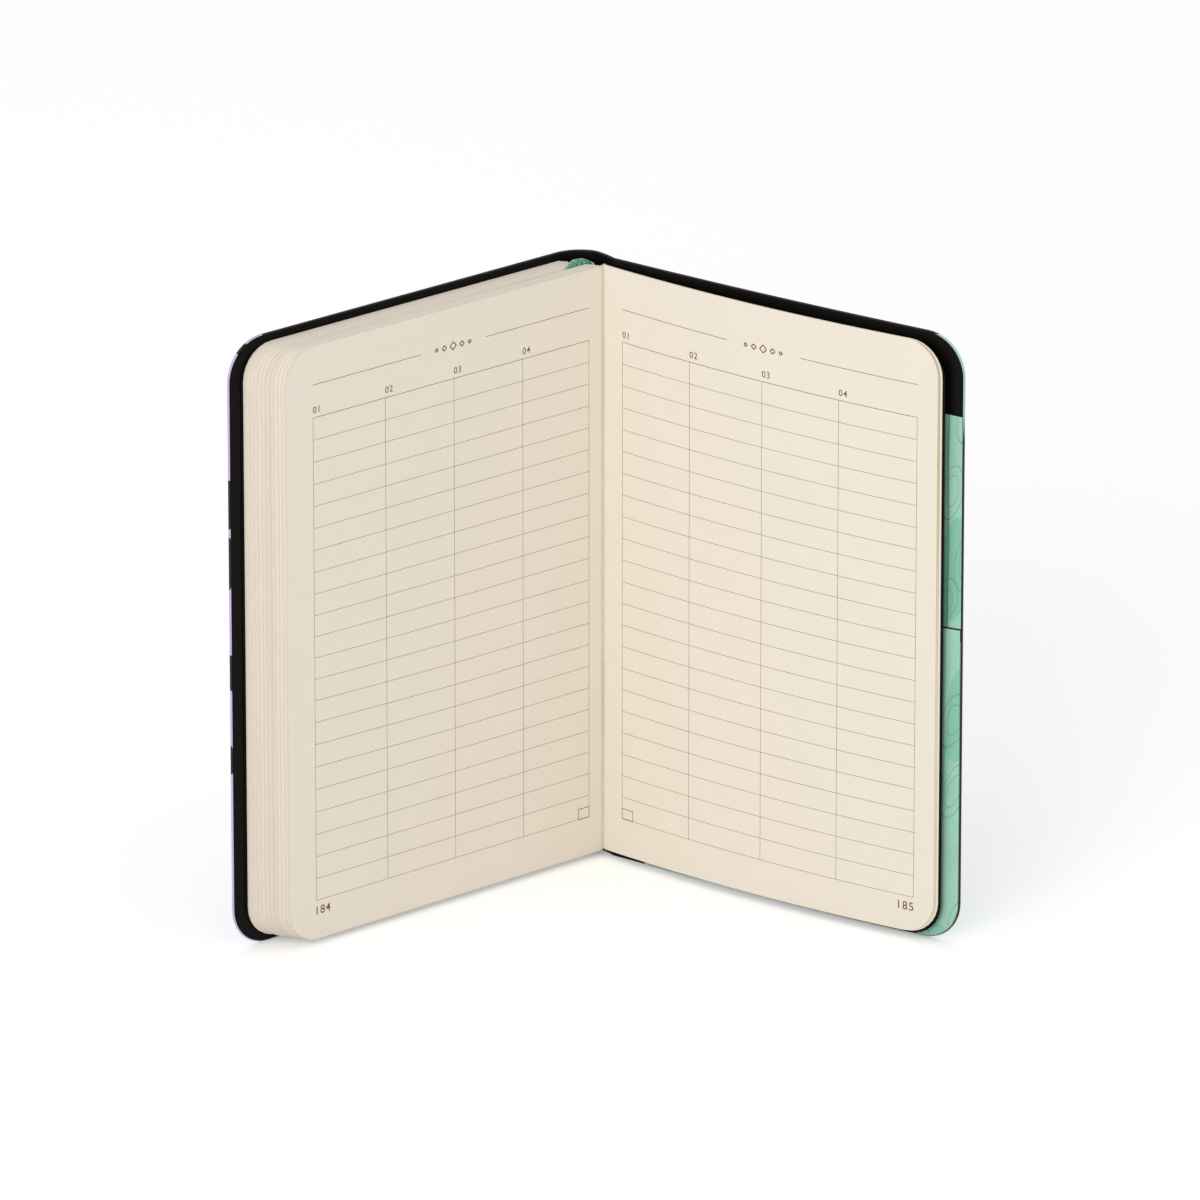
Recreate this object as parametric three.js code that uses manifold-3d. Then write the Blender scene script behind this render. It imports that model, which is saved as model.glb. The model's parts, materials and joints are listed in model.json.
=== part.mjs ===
// A softcover notebook, sewn in sections, standing on its tail and open in a V.
// Millimetres, +Z up, -Y towards the reader. The gutter is a vertical line, and
// each side of the book is built in a frame of its own that starts at the gutter:
// local x runs to the fore edge, and depth is counted from the open page backwards.

import * as THREE from 'three';
import { mergeVertices } from 'three/addons/utils/BufferGeometryUtils.js';
import Module from 'manifold-3d';

const wasm = await Module();
wasm.setup();

// Driving dimensions of the opening
const leftPageAngle = 41; // degrees from the X axis to the left page
const rightPageAngle = 36.5; // degrees from the X axis to the right page
const backCoverFan = 1.0; // degrees that the back cover falls behind the right leaves

// Driving dimensions of the text block
const leafWidth = 114.75;
const leafHeight = 174.4;
const leafThickness = 0.12;
const leafCornerRadius = 10;
const foldClearance = 0.35; // from the gutter's axis to the first leaf's fold
const looseLeavesPerSide = 4; // leaves of the open section on each side
const closedSections = 11;
const sectionThickness = 0.92; // eight leaves
const foreEdgeSlant = 6.5; // how far the first section's fore edge stands out past the open leaf
const flyleafThickness = 0.15;

// Driving dimensions of the cover
const tailOverhang = 1.8; // from the cover's tail edge up to the leaves
const headOverhang = 2.3; // from the leaves up to the cover's head edge
const frontForeOverhang = 4.3; // cover past the first section's fore edge
const backForeOverhang = 5.7; // cover past the last leaf's fore edge
const coverCornerRadius = 12;
const skinThickness = 0.4;
const boardThickness = 0.4;
const pastedownThickness = 0.2;
const boardInset = 1.2; // skin turned over the board's edge
const pastedownInset = 0.6;
const backHingeOffset = 2.2; // from the gutter to the back cover's first edge
const hingeClearance = 0.2; // from the front hinge's axis to the cover's first edge

// Driving dimensions of the spine
const spineLiningThickness = 0.3;
const spineLiningClearance = 0.5; // from the slanting line of the folds
const spineLiningStart = 2.2; // from the gutter, clear of the back cover's swing
const spineLiningInset = 5; // spine lining's ends from the leaves' head and tail
const spineBulge = 5.2; // how far the hollow spine bows out behind the hinges
const spineHingeGap = 0.5; // front hinge's axis to the spine panel
const spineEnd = new THREE.Vector2(-0.9, 5.95); // right end of the stiff panel, clear of the cover's swing
const spineLinerThickness = 0.3;
const hingeSkinGap = 0.3;

// Driving dimensions of the sewing
const threadDiameter = 0.36;
const stitchLength = 24;
const stitchFromHead = 19; // from the leaves' head down to the upper stitch
const stitchFromTail = 34; // from the leaves' tail up to the lower stitch

// Driving dimensions of the ribbon
const ribbonWidth = 6.5;
const ribbonThickness = 0.25;
const ribbonSlot = 0.4; // space that the ribbon takes between two sections
const sectionsBeforeRibbon = 4; // closed sections between the open section and the ribbon
const ribbonGluedLength = 26; // glued in the hollow of the spine
const ribbonInnerLength = 150; // lies between two sections
const ribbonLift = 0.35; // above the head of the leaves
const ribbonCrown = 1.1; // rise of its hump above that
const ribbonPlace = 6; // from the gutter along the slanting line of the folds
const ribbonFold = 5.4; // from the gutter to the middle of the fold over the slot
const ribbonSlantAngle = THREE.MathUtils.degToRad(45); // between ribbon and slot

// Driving dimensions of the pocket in the back cover
const pocketBackDrop = 23; // from the cover's head edge down to the back panel
const pocketMouthDrop = 85.3; // from the cover's head edge down to the mouth
const pocketSpineInset = 12; // from the back cover's first edge to the pocket
const pocketPaper = 0.2;
const gussetWidth = 7;
const pocketMouthDip = 1.6; // the mouth is cut slightly hollow

// Clearances between sheets that lie on each other
const sheetGap = 0.03;
const glueGap = 0.05;

const roundSteps = 8; // straight steps in each rounded corner
const foldSteps = 6;

const paper = new THREE.MeshStandardMaterial({ color: '#e4d8c7', roughness: 0.9, metalness: 0 });
const blackPaper = new THREE.MeshStandardMaterial({ color: '#151313', roughness: 0.75, metalness: 0 });
const lilacSkin = new THREE.MeshStandardMaterial({ color: '#c9b8dc', roughness: 0.6, metalness: 0 });
const mintSkin = new THREE.MeshStandardMaterial({ color: '#c3d3cf', roughness: 0.6, metalness: 0 });
const greyBoard = new THREE.MeshStandardMaterial({ color: '#8b867e', roughness: 0.95, metalness: 0 });
const mintPaper = new THREE.MeshStandardMaterial({ color: '#8fc4ad', roughness: 0.8, metalness: 0 });
const ribbonCloth = new THREE.MeshStandardMaterial({ color: '#4f9d80', roughness: 0.7, metalness: 0 });
const thread = new THREE.MeshStandardMaterial({ color: '#ece6da', roughness: 0.8, metalness: 0 });

const book = new THREE.Group();

// One side of the book: a group turned so that its x axis runs from the gutter to
// the fore edge. backwards is the sign of the local y axis that leads away from the reader.
function makeSide(degrees, backwards) {
  const side = new THREE.Group();
  side.rotation.z = THREE.MathUtils.degToRad(degrees);
  side.userData.backwards = backwards;
  book.add(side);
  return side;
}

const leftSide = makeSide(180 + leftPageAngle, -1);
const rightSide = makeSide(-rightPageAngle, 1);
const backCoverSide = makeSide(backCoverFan - rightPageAngle, 1);

function addMesh(parent, name, geometry, material) {
  const mesh = new THREE.Mesh(geometry, material);
  mesh.name = name;
  parent.add(mesh);
  return mesh;
}

function toManifold(geometry) {
  const bare = geometry.index ? geometry.toNonIndexed() : geometry.clone();
  bare.deleteAttribute('normal');
  bare.deleteAttribute('uv');
  const merged = mergeVertices(bare, 1e-4);
  return new wasm.Manifold(new wasm.Mesh({
    numProp: 3,
    vertProperties: new Float32Array(merged.attributes.position.array),
    triVerts: new Uint32Array(merged.index.array),
  }));
}

function toGeometry(manifold) {
  const mesh = manifold.getMesh();
  const geometry = new THREE.BufferGeometry();
  geometry.setAttribute('position', new THREE.BufferAttribute(new Float32Array(mesh.vertProperties), 3));
  geometry.setIndex(new THREE.BufferAttribute(new Uint32Array(mesh.triVerts), 1));
  geometry.computeVertexNormals();
  return geometry;
}

// Outline of a leaf or panel: square at the spine and round at the fore edge.
function sheetOutline(x0, x1, z0, z1, radius) {
  const outline = new THREE.Shape();
  outline.moveTo(x0, z0);
  outline.lineTo(x1 - radius, z0);
  outline.absarc(x1 - radius, z0 + radius, radius, -Math.PI / 2, 0, false);
  outline.lineTo(x1, z1 - radius);
  outline.absarc(x1 - radius, z1 - radius, radius, 0, Math.PI / 2, false);
  outline.lineTo(x0, z1);
  outline.closePath();
  return outline;
}

// A flat sheet from an outline in the x-z plane. Its near face lies at depth
// behind the open page, and its far face at depth + thickness.
function sheetGeometry(outline, thickness, depth, backwards) {
  const geometry = new THREE.ExtrudeGeometry(outline, {
    depth: thickness, steps: 1, bevelEnabled: false, curveSegments: roundSteps,
  });
  geometry.rotateX(Math.PI / 2);
  geometry.translate(0, backwards > 0 ? depth + thickness : -depth, 0);
  return geometry;
}

function addSheet(side, name, outline, thickness, depth, material) {
  const geometry = sheetGeometry(outline, thickness, depth, side.userData.backwards);
  return addMesh(side, name, geometry, material);
}

const leafBottom = tailOverhang;
const leafTop = leafBottom + leafHeight;
const coverHeight = leafTop + headOverhang;
const leafPitch = leafThickness + sheetGap;
const sectionPitch = sectionThickness + sheetGap;
const openSectionDepth = looseLeavesPerSide * leafPitch;
const blockThickness = openSectionDepth + closedSections * sectionPitch + ribbonSlot;

// The spine of the block slants: a fold at this depth starts this far from the gutter.
function slantAt(depth) {
  return foreEdgeSlant * depth / blockThickness;
}

function leafOutline(start) {
  return sheetOutline(start, start + leafWidth, leafBottom, leafTop, leafCornerRadius);
}

// The loose leaves of the open section, numbered from the open page inwards
function addLooseLeaves() {
  for (let i = 0; i < looseLeavesPerSide; i += 1) {
    const depth = i * leafPitch;
    const leftStart = foldClearance + slantAt(depth);
    addSheet(leftSide, `left_leaf_${i + 1}`, leafOutline(leftStart), leafThickness, depth, paper);
    addSheet(rightSide, `right_leaf_${i + 1}`, leafOutline(foldClearance), leafThickness, depth, paper);
  }
}

// A closed section is eight leaves, folded and sewn: the fold is a half round.
function sectionGeometry(start, depth) {
  const foldRadius = sectionThickness / 2;
  const plan = new THREE.Shape();
  plan.moveTo(start + leafWidth, -depth);
  plan.lineTo(start + foldRadius, -depth);
  plan.absarc(start + foldRadius, -depth - foldRadius, foldRadius, Math.PI / 2, Math.PI * 1.5, false);
  plan.lineTo(start + leafWidth, -depth - sectionThickness);
  plan.closePath();
  const folded = new THREE.ExtrudeGeometry(plan, {
    depth: coverHeight, steps: 1, bevelEnabled: false, curveSegments: foldSteps,
  });
  const margin = sectionThickness;
  const trimmed = sheetGeometry(leafOutline(start), sectionThickness + 2 * margin, depth - margin, -1);
  return toGeometry(toManifold(folded).intersect(toManifold(trimmed)));
}

function sectionDepth(indexFromOpenPage) {
  const slot = indexFromOpenPage >= sectionsBeforeRibbon ? ribbonSlot : 0;
  return openSectionDepth + indexFromOpenPage * sectionPitch + slot;
}

// Sections are numbered from the front cover, as they are gathered.
function addSections() {
  for (let i = 0; i < closedSections; i += 1) {
    const depth = sectionDepth(i);
    const number = String(closedSections - i).padStart(2, '0');
    addMesh(leftSide, `section_${number}`, sectionGeometry(foldClearance + slantAt(depth), depth), paper);
  }
}

function addStitch(name, bottom) {
  const stitch = new THREE.CylinderGeometry(threadDiameter / 2, threadDiameter / 2, stitchLength, 8);
  stitch.rotateX(Math.PI / 2);
  stitch.translate(0, 0, bottom + stitchLength / 2);
  addMesh(book, name, stitch, thread);
}

const frontFlyleafDepth = blockThickness + glueGap;
const frontPastedownDepth = frontFlyleafDepth + flyleafThickness + glueGap;
const frontBoardDepth = frontPastedownDepth + pastedownThickness + sheetGap;
const frontSkinDepth = frontBoardDepth + boardThickness + sheetGap;
const frontHingeX = foldClearance + foreEdgeSlant + glueGap;
const frontHingeDepth = frontSkinDepth + skinThickness;
const frontCoverEnd = foldClearance + foreEdgeSlant + leafWidth + frontForeOverhang;
const frontHinge = new THREE.Vector2(frontHingeX, -frontHingeDepth)
  .rotateAround(new THREE.Vector2(), leftSide.rotation.z);

// A cover is a skin with a board and a pastedown laid inside its turned edges.
function addCover(side, prefix, firstEdge, lastEdge, skin, depths) {
  const start = firstEdge;
  const outline = (inset) => sheetOutline(
    start, lastEdge - inset, inset, coverHeight - inset, coverCornerRadius - inset);
  addSheet(side, `${prefix}_cover_skin`, outline(0), skinThickness, depths.skin, skin);
  addSheet(side, `${prefix}_cover_board`, outline(boardInset), boardThickness, depths.board, greyBoard);
  addSheet(side, `${prefix}_pastedown`, outline(pastedownInset), pastedownThickness,
    depths.pastedown, blackPaper);
}

function addFrontCover() {
  const start = frontHingeX + hingeClearance;
  addSheet(leftSide, 'front_flyleaf', leafOutline(start), flyleafThickness, frontFlyleafDepth, blackPaper);
  addCover(leftSide, 'front', start, frontCoverEnd, lilacSkin, {
    pastedown: frontPastedownDepth, board: frontBoardDepth, skin: frontSkinDepth,
  });
}

const backFlyleafDepth = looseLeavesPerSide * leafPitch;
const pocketFrontDepth = backFlyleafDepth - sheetGap;
const gussetDepth = pocketFrontDepth + pocketPaper + glueGap;
const pocketBackDepth = gussetDepth + pocketPaper + glueGap;
const backPastedownDepth = pocketBackDepth + pocketPaper + glueGap;
const backBoardDepth = backPastedownDepth + pastedownThickness + sheetGap;
const backSkinDepth = backBoardDepth + boardThickness + sheetGap;
const backCoverEnd = foldClearance + leafWidth + backForeOverhang;
const pocketStart = backHingeOffset + pocketSpineInset;
const pocketBackHeight = coverHeight - pocketBackDrop;
const pocketMouthHeight = coverHeight - pocketMouthDrop;

function addBackCover() {
  addSheet(rightSide, 'back_flyleaf', leafOutline(foldClearance), flyleafThickness,
    backFlyleafDepth, blackPaper);
  addCover(backCoverSide, 'back', backHingeOffset, backCoverEnd, mintSkin, {
    pastedown: backPastedownDepth, board: backBoardDepth, skin: backSkinDepth,
  });
}

// A pocket panel fits the cover's tail corner and is cut across at the top.
function pocketOutline(x0, x1, top, dip) {
  const radius = coverCornerRadius - pastedownInset;
  const outline = new THREE.Shape();
  outline.moveTo(x0, pastedownInset);
  outline.lineTo(x1 - radius, pastedownInset);
  outline.absarc(x1 - radius, pastedownInset + radius, radius, -Math.PI / 2, 0, false);
  outline.lineTo(x1, top);
  outline.quadraticCurveTo((x0 + x1) / 2, top - 2 * dip, x0, top);
  outline.closePath();
  return outline;
}

function addPocket() {
  const end = backCoverEnd - pastedownInset;
  addSheet(backCoverSide, 'pocket_back_panel', pocketOutline(pocketStart, end, pocketBackHeight, 0),
    pocketPaper, pocketBackDepth, mintPaper);
  addSheet(backCoverSide, 'pocket_front_panel',
    pocketOutline(pocketStart, end, pocketMouthHeight, pocketMouthDip),
    pocketPaper, pocketFrontDepth, mintPaper);
  const gussetTop = pocketMouthHeight - 2 * pocketMouthDip;
  addSheet(backCoverSide, 'pocket_fore_gusset', pocketOutline(end - 2 * gussetWidth, end, gussetTop, 0),
    pocketPaper, gussetDepth, mintPaper);
  const spineGusset = new THREE.Shape();
  spineGusset.moveTo(pocketStart, pastedownInset);
  spineGusset.lineTo(pocketStart + gussetWidth, pastedownInset);
  spineGusset.lineTo(pocketStart + gussetWidth, gussetTop);
  spineGusset.lineTo(pocketStart, gussetTop);
  spineGusset.closePath();
  addSheet(backCoverSide, 'pocket_spine_gusset', spineGusset, pocketPaper, gussetDepth, mintPaper);
}

// The slanting line of the folds: along it, and square to it into the hollow
const slantLength = Math.hypot(foreEdgeSlant, blockThickness);
const slantAlong = new THREE.Vector3(foreEdgeSlant / slantLength, -blockThickness / slantLength, 0);
const slantOutwards = new THREE.Vector3(-blockThickness / slantLength, -foreEdgeSlant / slantLength, 0);

// A point of the left side, given along the slanting line and out from it
function slantPoint(along, outwards, z) {
  return new THREE.Vector3(foldClearance, 0, z)
    .addScaledVector(slantAlong, along)
    .addScaledVector(slantOutwards, outwards);
}

// Lining glued over the folds, on the slanting back of the block
function addSpineLining() {
  const length = slantLength - spineLiningStart - spineLiningThickness;
  const lining = new THREE.BoxGeometry(length, spineLiningThickness, leafHeight - 2 * spineLiningInset);
  const mesh = addMesh(leftSide, 'spine_lining', lining, blackPaper);
  mesh.rotation.z = Math.atan2(slantAlong.y, slantAlong.x);
  mesh.position.copy(slantPoint(spineLiningStart + length / 2,
    spineLiningClearance + spineLiningThickness / 2, (leafBottom + leafTop) / 2));
}

// A band of even thickness that follows a plan curve, as tall as the cover.
// inwards is the side of the curve on which the band lies.
function bandGeometry(curve, thickness, offset, steps, bottom, top) {
  const outer = [];
  const inner = [];
  for (let i = 0; i <= steps; i += 1) {
    const t = i / steps;
    const point = curve.getPoint(t);
    const along = curve.getTangent(t);
    const inwards = new THREE.Vector2(along.y, -along.x);
    outer.push(point.clone().addScaledVector(inwards, offset));
    inner.push(point.clone().addScaledVector(inwards, offset + thickness));
  }
  const plan = new THREE.Shape([...outer, ...inner.reverse()]);
  const geometry = new THREE.ExtrudeGeometry(plan, { depth: top - bottom, steps: 1, bevelEnabled: false });
  geometry.translate(0, 0, bottom);
  return geometry;
}

// The stiff spine panel bows out behind the block and leaves a hollow.
function addSpinePanel() {
  const start = frontHinge.clone().add(new THREE.Vector2(spineHingeGap, spineHingeGap / 2));
  const span = spineEnd.x - start.x;
  const curve = new THREE.CubicBezierCurve(
    start,
    new THREE.Vector2(start.x + span * 0.3, start.y + spineBulge * 0.72),
    new THREE.Vector2(start.x + span * 0.8, start.y + spineBulge * 0.55),
    spineEnd,
  );
  addMesh(book, 'spine_skin', bandGeometry(curve, skinThickness, 0, 10, 0, coverHeight), lilacSkin);
  addMesh(book, 'spine_liner', bandGeometry(curve, spineLinerThickness, skinThickness + glueGap, 10,
    pastedownInset, coverHeight - pastedownInset), blackPaper);
}

// The soft strip between the spine panel and the back cover
function addBackHingeSkin() {
  const coverEdge = new THREE.Vector2(backHingeOffset, backSkinDepth + skinThickness)
    .rotateAround(new THREE.Vector2(), backCoverSide.rotation.z);
  const fromSpine = new THREE.Vector2(hingeSkinGap, -hingeSkinGap);
  const start = spineEnd.clone().add(fromSpine);
  const end = coverEdge.clone().add(new THREE.Vector2(-hingeSkinGap / 2, hingeSkinGap));
  const elbow = new THREE.Vector2(end.x - hingeSkinGap, (start.y + end.y) / 2);
  const curve = new THREE.QuadraticBezierCurve(start, elbow, end);
  addMesh(book, 'back_hinge_skin', bandGeometry(curve, skinThickness, 0, 5, 0, coverHeight), lilacSkin);
}

// A flat strip swept through stations. Each has a centre, a vector across the
// strip from edge to edge, and the direction of its thickness.
function stripGeometry(stations, thickness) {
  const positions = [];
  const index = [];
  stations.forEach(({ centre, across, through }) => {
    const half = through.clone().normalize().multiplyScalar(thickness / 2);
    [[-0.5, -1], [-0.5, 1], [0.5, 1], [0.5, -1]].forEach(([i, j]) => {
      const corner = centre.clone().addScaledVector(across, i).addScaledVector(half, j);
      positions.push(corner.x, corner.y, corner.z);
    });
  });
  for (let s = 0; s < stations.length - 1; s += 1) {
    for (let k = 0; k < 4; k += 1) {
      const a = s * 4 + k;
      const b = s * 4 + (k + 1) % 4;
      index.push(a, b, b + 4, a, b + 4, a + 4);
    }
  }
  const end = (stations.length - 1) * 4;
  index.push(0, 3, 2, 0, 2, 1, end, end + 1, end + 2, end, end + 2, end + 3);
  const geometry = new THREE.BufferGeometry();
  geometry.setAttribute('position', new THREE.BufferAttribute(new Float32Array(positions), 3));
  geometry.setIndex(index);
  geometry.computeVertexNormals();
  return geometry;
}

// The ribbon is glued in the hollow, comes over the head at a slant, and lies
// between two sections. Its width is wider where it is folded over at a slant.
function addRibbon() {
  const slotDepth = sectionDepth(sectionsBeforeRibbon) - (ribbonSlot + sheetGap) / 2;
  const head = leafTop + ribbonLift;
  const outOfHollow = spineLiningClearance + spineLiningThickness + glueGap + ribbonThickness / 2;
  const inHollow = (z) => slantPoint(ribbonPlace, outOfHollow, z);
  const slantWide = ribbonWidth / Math.sin(ribbonSlantAngle);
  const inSlot = (x, z) => new THREE.Vector3(ribbonFold + x, -slotDepth, z);
  const acrossFold = new THREE.Vector3(slantWide, 0, 0);
  const acrossEnd = new THREE.Vector3(ribbonWidth, 0, 0);
  const acrossGlue = slantAlong.clone().multiplyScalar(ribbonWidth);
  const up = new THREE.Vector3(0, 0, 1);
  const forwards = new THREE.Vector3(0, 1, 0);
  const crown = inHollow(head + ribbonCrown).lerp(inSlot(0, head + ribbonCrown), 0.5);
  const drift = ribbonInnerLength * Math.cos(ribbonSlantAngle) / 4;
  const stations = [
    { centre: inHollow(leafTop - ribbonGluedLength), across: acrossGlue, through: slantOutwards },
    { centre: inHollow(leafTop - ribbonLift), across: acrossGlue, through: slantOutwards },
    {
      centre: inHollow(head + ribbonCrown / 2),
      across: acrossGlue,
      through: slantOutwards.clone().add(up),
    },
    { centre: crown, across: acrossGlue.clone().lerp(acrossFold, 0.5), through: up },
    { centre: inSlot(0, head + ribbonCrown / 3), across: acrossFold, through: up.clone().add(forwards) },
    { centre: inSlot(0, leafTop - ribbonLift), across: acrossFold, through: forwards },
    {
      centre: inSlot(drift * 0.6, leafTop - drift),
      across: acrossFold.clone().lerp(acrossEnd, 0.5),
      through: forwards,
    },
    { centre: inSlot(drift, leafTop - ribbonInnerLength / 2), across: acrossEnd, through: forwards },
    { centre: inSlot(drift, leafTop - ribbonInnerLength), across: acrossEnd, through: forwards },
  ];
  addMesh(leftSide, 'ribbon_bookmark', stripGeometry(stations, ribbonThickness), ribbonCloth);
}

addLooseLeaves();
addSections();
addStitch('upper_stitch', leafTop - stitchFromHead - stitchLength);
addStitch('lower_stitch', leafBottom + stitchFromTail);
addSpineLining();
addFrontCover();
addBackCover();
addPocket();
addSpinePanel();
addBackHingeSkin();
addRibbon();

// The origin is the middle of the footprint, on the surface that the book stands on.
book.updateMatrixWorld(true);
const bounds = new THREE.Box3().setFromObject(book, true);
const middle = bounds.getCenter(new THREE.Vector3());
book.position.set(-middle.x, -middle.y, 0);

// Upright axes that the pieces turn about, in the finished part's frame
const pocketHinge = new THREE.Vector2(pocketStart, pocketFrontDepth + pocketPaper)
  .rotateAround(new THREE.Vector2(), backCoverSide.rotation.z);
book.userData.axes = {
  gutter: [-middle.x, -middle.y],
  frontHinge: [frontHinge.x - middle.x, frontHinge.y - middle.y],
  pocketHinge: [pocketHinge.x - middle.x, pocketHinge.y - middle.y],
};

export default book;
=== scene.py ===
import json
import math
import random

import bmesh
import bpy
import numpy as np
from bpy.props import FloatProperty, FloatVectorProperty, IntProperty, PointerProperty
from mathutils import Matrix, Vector


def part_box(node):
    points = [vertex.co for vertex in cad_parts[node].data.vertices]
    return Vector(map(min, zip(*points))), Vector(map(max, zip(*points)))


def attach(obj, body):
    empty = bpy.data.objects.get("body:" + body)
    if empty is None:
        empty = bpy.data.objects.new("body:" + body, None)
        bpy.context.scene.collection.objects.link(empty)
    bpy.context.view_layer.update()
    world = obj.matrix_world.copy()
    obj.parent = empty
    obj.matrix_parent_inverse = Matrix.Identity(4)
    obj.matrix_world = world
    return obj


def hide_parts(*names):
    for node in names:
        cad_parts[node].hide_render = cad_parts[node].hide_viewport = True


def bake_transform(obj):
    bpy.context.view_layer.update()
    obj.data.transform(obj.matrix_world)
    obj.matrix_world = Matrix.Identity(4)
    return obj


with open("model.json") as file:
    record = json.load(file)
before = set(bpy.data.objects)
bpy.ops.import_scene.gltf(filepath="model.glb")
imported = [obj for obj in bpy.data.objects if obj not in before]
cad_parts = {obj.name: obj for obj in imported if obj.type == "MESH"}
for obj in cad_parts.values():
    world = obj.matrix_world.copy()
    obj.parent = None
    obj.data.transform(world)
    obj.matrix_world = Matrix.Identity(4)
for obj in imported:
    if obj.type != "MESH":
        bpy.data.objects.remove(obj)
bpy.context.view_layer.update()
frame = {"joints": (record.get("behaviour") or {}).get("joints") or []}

bl_info = {
    "name": "Softcover notebook",
    "version": (1, 0, 0),
    "blender": (4, 5, 0),
    "location": "3D View > Sidebar > Notebook",
    "description": "Builds a sewn softcover notebook that stands open, with its ribbon and back pocket",
    "category": "Add Mesh",
}

# Shapes are worked out in millimetres and turned into metres when a mesh is made
MM = 0.001

# Heights and the place of the gutter, from the frame
GUTTER_HINGE = next(joint for joint in frame["joints"] if joint["name"] == "left_page_turn")
GUTTER = np.array(GUTTER_HINGE["pos_m"][:2]) / MM


def heights(node):
    """Lowest and highest point of a CAD node, in millimetres."""
    low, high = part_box(node)
    return low[2] / MM, high[2] / MM


LEAF_TAIL, LEAF_HEAD = heights("left_leaf_1")
COVER_TAIL, COVER_HEAD = heights("front_cover_skin")
POCKET_TAIL, POCKET_HEAD = heights("pocket_back_panel")
MOUTH_HEAD = heights("pocket_front_panel")[1]
GUSSET_HEAD = heights("pocket_fore_gusset")[1]
UPPER_STITCH = heights("upper_stitch")
LOWER_STITCH = heights("lower_stitch")
LINING_TAIL, LINING_HEAD = heights("spine_lining")

# Plan of the open book, in millimetres and degrees
LEFT_ANGLE = 41.0
RIGHT_ANGLE = 36.5
COVER_FAN = 1.0
LEAF_WIDTH = 114.75
LEAF_CORNER = 10.0
COVER_CORNER = 12.0
LEAF_THICKNESS = 0.12
LEAF_PITCH = 0.15
OPEN_LEAVES = 4
SECTIONS = 11
SECTION_THICKNESS = 0.92
SECTION_PITCH = 0.95
SHEETS = 4
SHEET_PITCH = SECTION_THICKNESS / (2 * SHEETS)
RIBBON_SLOT = 0.4
SECTIONS_BEFORE_RIBBON = 4
BLOCK_THICKNESS = OPEN_LEAVES * LEAF_PITCH + SECTIONS * SECTION_PITCH + RIBBON_SLOT
FORE_SLANT = 6.5
SLANT_LENGTH = math.hypot(FORE_SLANT, BLOCK_THICKNESS)
FOLD_START = 0.35
FLYLEAF_THICKNESS = 0.12

# The lining behind the folds: how far from them the CAD piece begins, and its thickness there
LINING_OFFSET = 0.5
LINING_SPACE = 0.3

# Where the covers begin and end along their sides, and the depth of their outer faces
FRONT_HINGE_PLACE = FOLD_START + FORE_SLANT + 0.05
FRONT_START = FRONT_HINGE_PLACE - 0.5
FRONT_END = FOLD_START + FORE_SLANT + LEAF_WIDTH + 4.3
FRONT_FACE = BLOCK_THICKNESS + 1.31
FRONT_FLYLEAF = BLOCK_THICKNESS + 0.05
BACK_START = 2.2
BACK_END = FOLD_START + LEAF_WIDTH + 5.7
BACK_FACE = 2.38
BACK_FLYLEAF = OPEN_LEAVES * LEAF_PITCH
SPINE_END = GUTTER + np.array([-0.9, 5.95])
COURSE_LENGTH = 130.0

# Layers of a cover, counted from its outer face inwards
SKIN = 0.3
BOARD = (0.32, 0.66)
BOARD_START = 4.5
TURN_IN = (0.68, 0.86)
PASTEDOWN_FACE = 1.06
PASTEDOWN_THICKNESS = 0.18
TURN_IN_WIDTH = 4.2
RIM = 0.35
RIM_SHOWN = 0.3
LINING_LAP = 0.5

# Pocket sheets, by the depth of their nearer face
POCKET_START = BACK_START + 12.0
POCKET_END = BACK_END - 0.2
POCKET_FRONT = 0.68
POCKET_BACK = 1.07
POCKET_PAPER = 0.15
GUSSET_WIDTH = 7.0
MOUTH_DIP = 1.6

# Camera fitted to the photograph, which is 1200 pixels wide
PHOTO_WIDTH = 1200
CAMERA_DISTANCE = 4000.0
CAMERA_ELEVATION = 20.0
AIM = np.array([GUTTER[0] - 0.9, GUTTER[1], 77.0])
PIXELS_PER_MM = 3.555
SENSOR = 36.0


def direction(degrees):
    """Unit vector in the plan at this angle from the X axis."""
    return np.array([math.cos(math.radians(degrees)), math.sin(math.radians(degrees))])


def bezier(a, b, c, d, steps):
    """Points of a cubic Bezier curve in the plan."""
    t = np.linspace(0, 1, steps + 1)[:, None]
    u = 1 - t
    return u**3 * a + 3 * u * u * t * b + 3 * u * t * t * c + t**3 * d


class Course:
    """A line in the plan that a sheet follows.

    s is the length along it. depth is the distance from it, to the left of its run where
    turn is 1 and to the right where turn is -1.
    """

    def __init__(self, points, turn):
        self.points = np.array(points, float)
        self.turn = turn
        steps = np.hypot(*np.diff(self.points, axis=0).T)
        self.lengths = np.concatenate([[0.0], np.cumsum(steps)])
        tangents = np.gradient(self.points, self.lengths, axis=0)
        tangents /= np.hypot(*tangents.T)[:, None]
        self.normals = turn * np.stack([-tangents[:, 1], tangents[:, 0]], axis=1)

    @property
    def end(self):
        return self.lengths[-1]

    def at(self, s, depth=0.0):
        """Plan points for arrays of s and depth. Past its ends the line runs on straight."""
        s, depth = np.broadcast_arrays(np.asarray(s, float), np.asarray(depth, float))
        inside = np.clip(s, self.lengths[0], self.lengths[-1])
        x, y = (np.interp(inside, self.lengths, column) for column in self.points.T)
        nx, ny = (np.interp(inside, self.lengths, column) for column in self.normals.T)
        size = np.hypot(nx, ny)
        nx, ny = nx / size, ny / size
        past = s - inside
        x = x + nx * depth + self.turn * ny * past
        y = y + ny * depth - self.turn * nx * past
        return np.stack([x, y], axis=-1)


def bent_course(angle_at):
    """A course from the gutter, in steps of 1 mm, whose angle from the X axis is angle_at(s)."""
    points = [GUTTER]
    for s in np.arange(0.5, COURSE_LENGTH):
        points.append(points[-1] + direction(angle_at(s)))
    return Course(points, 1)


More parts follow.
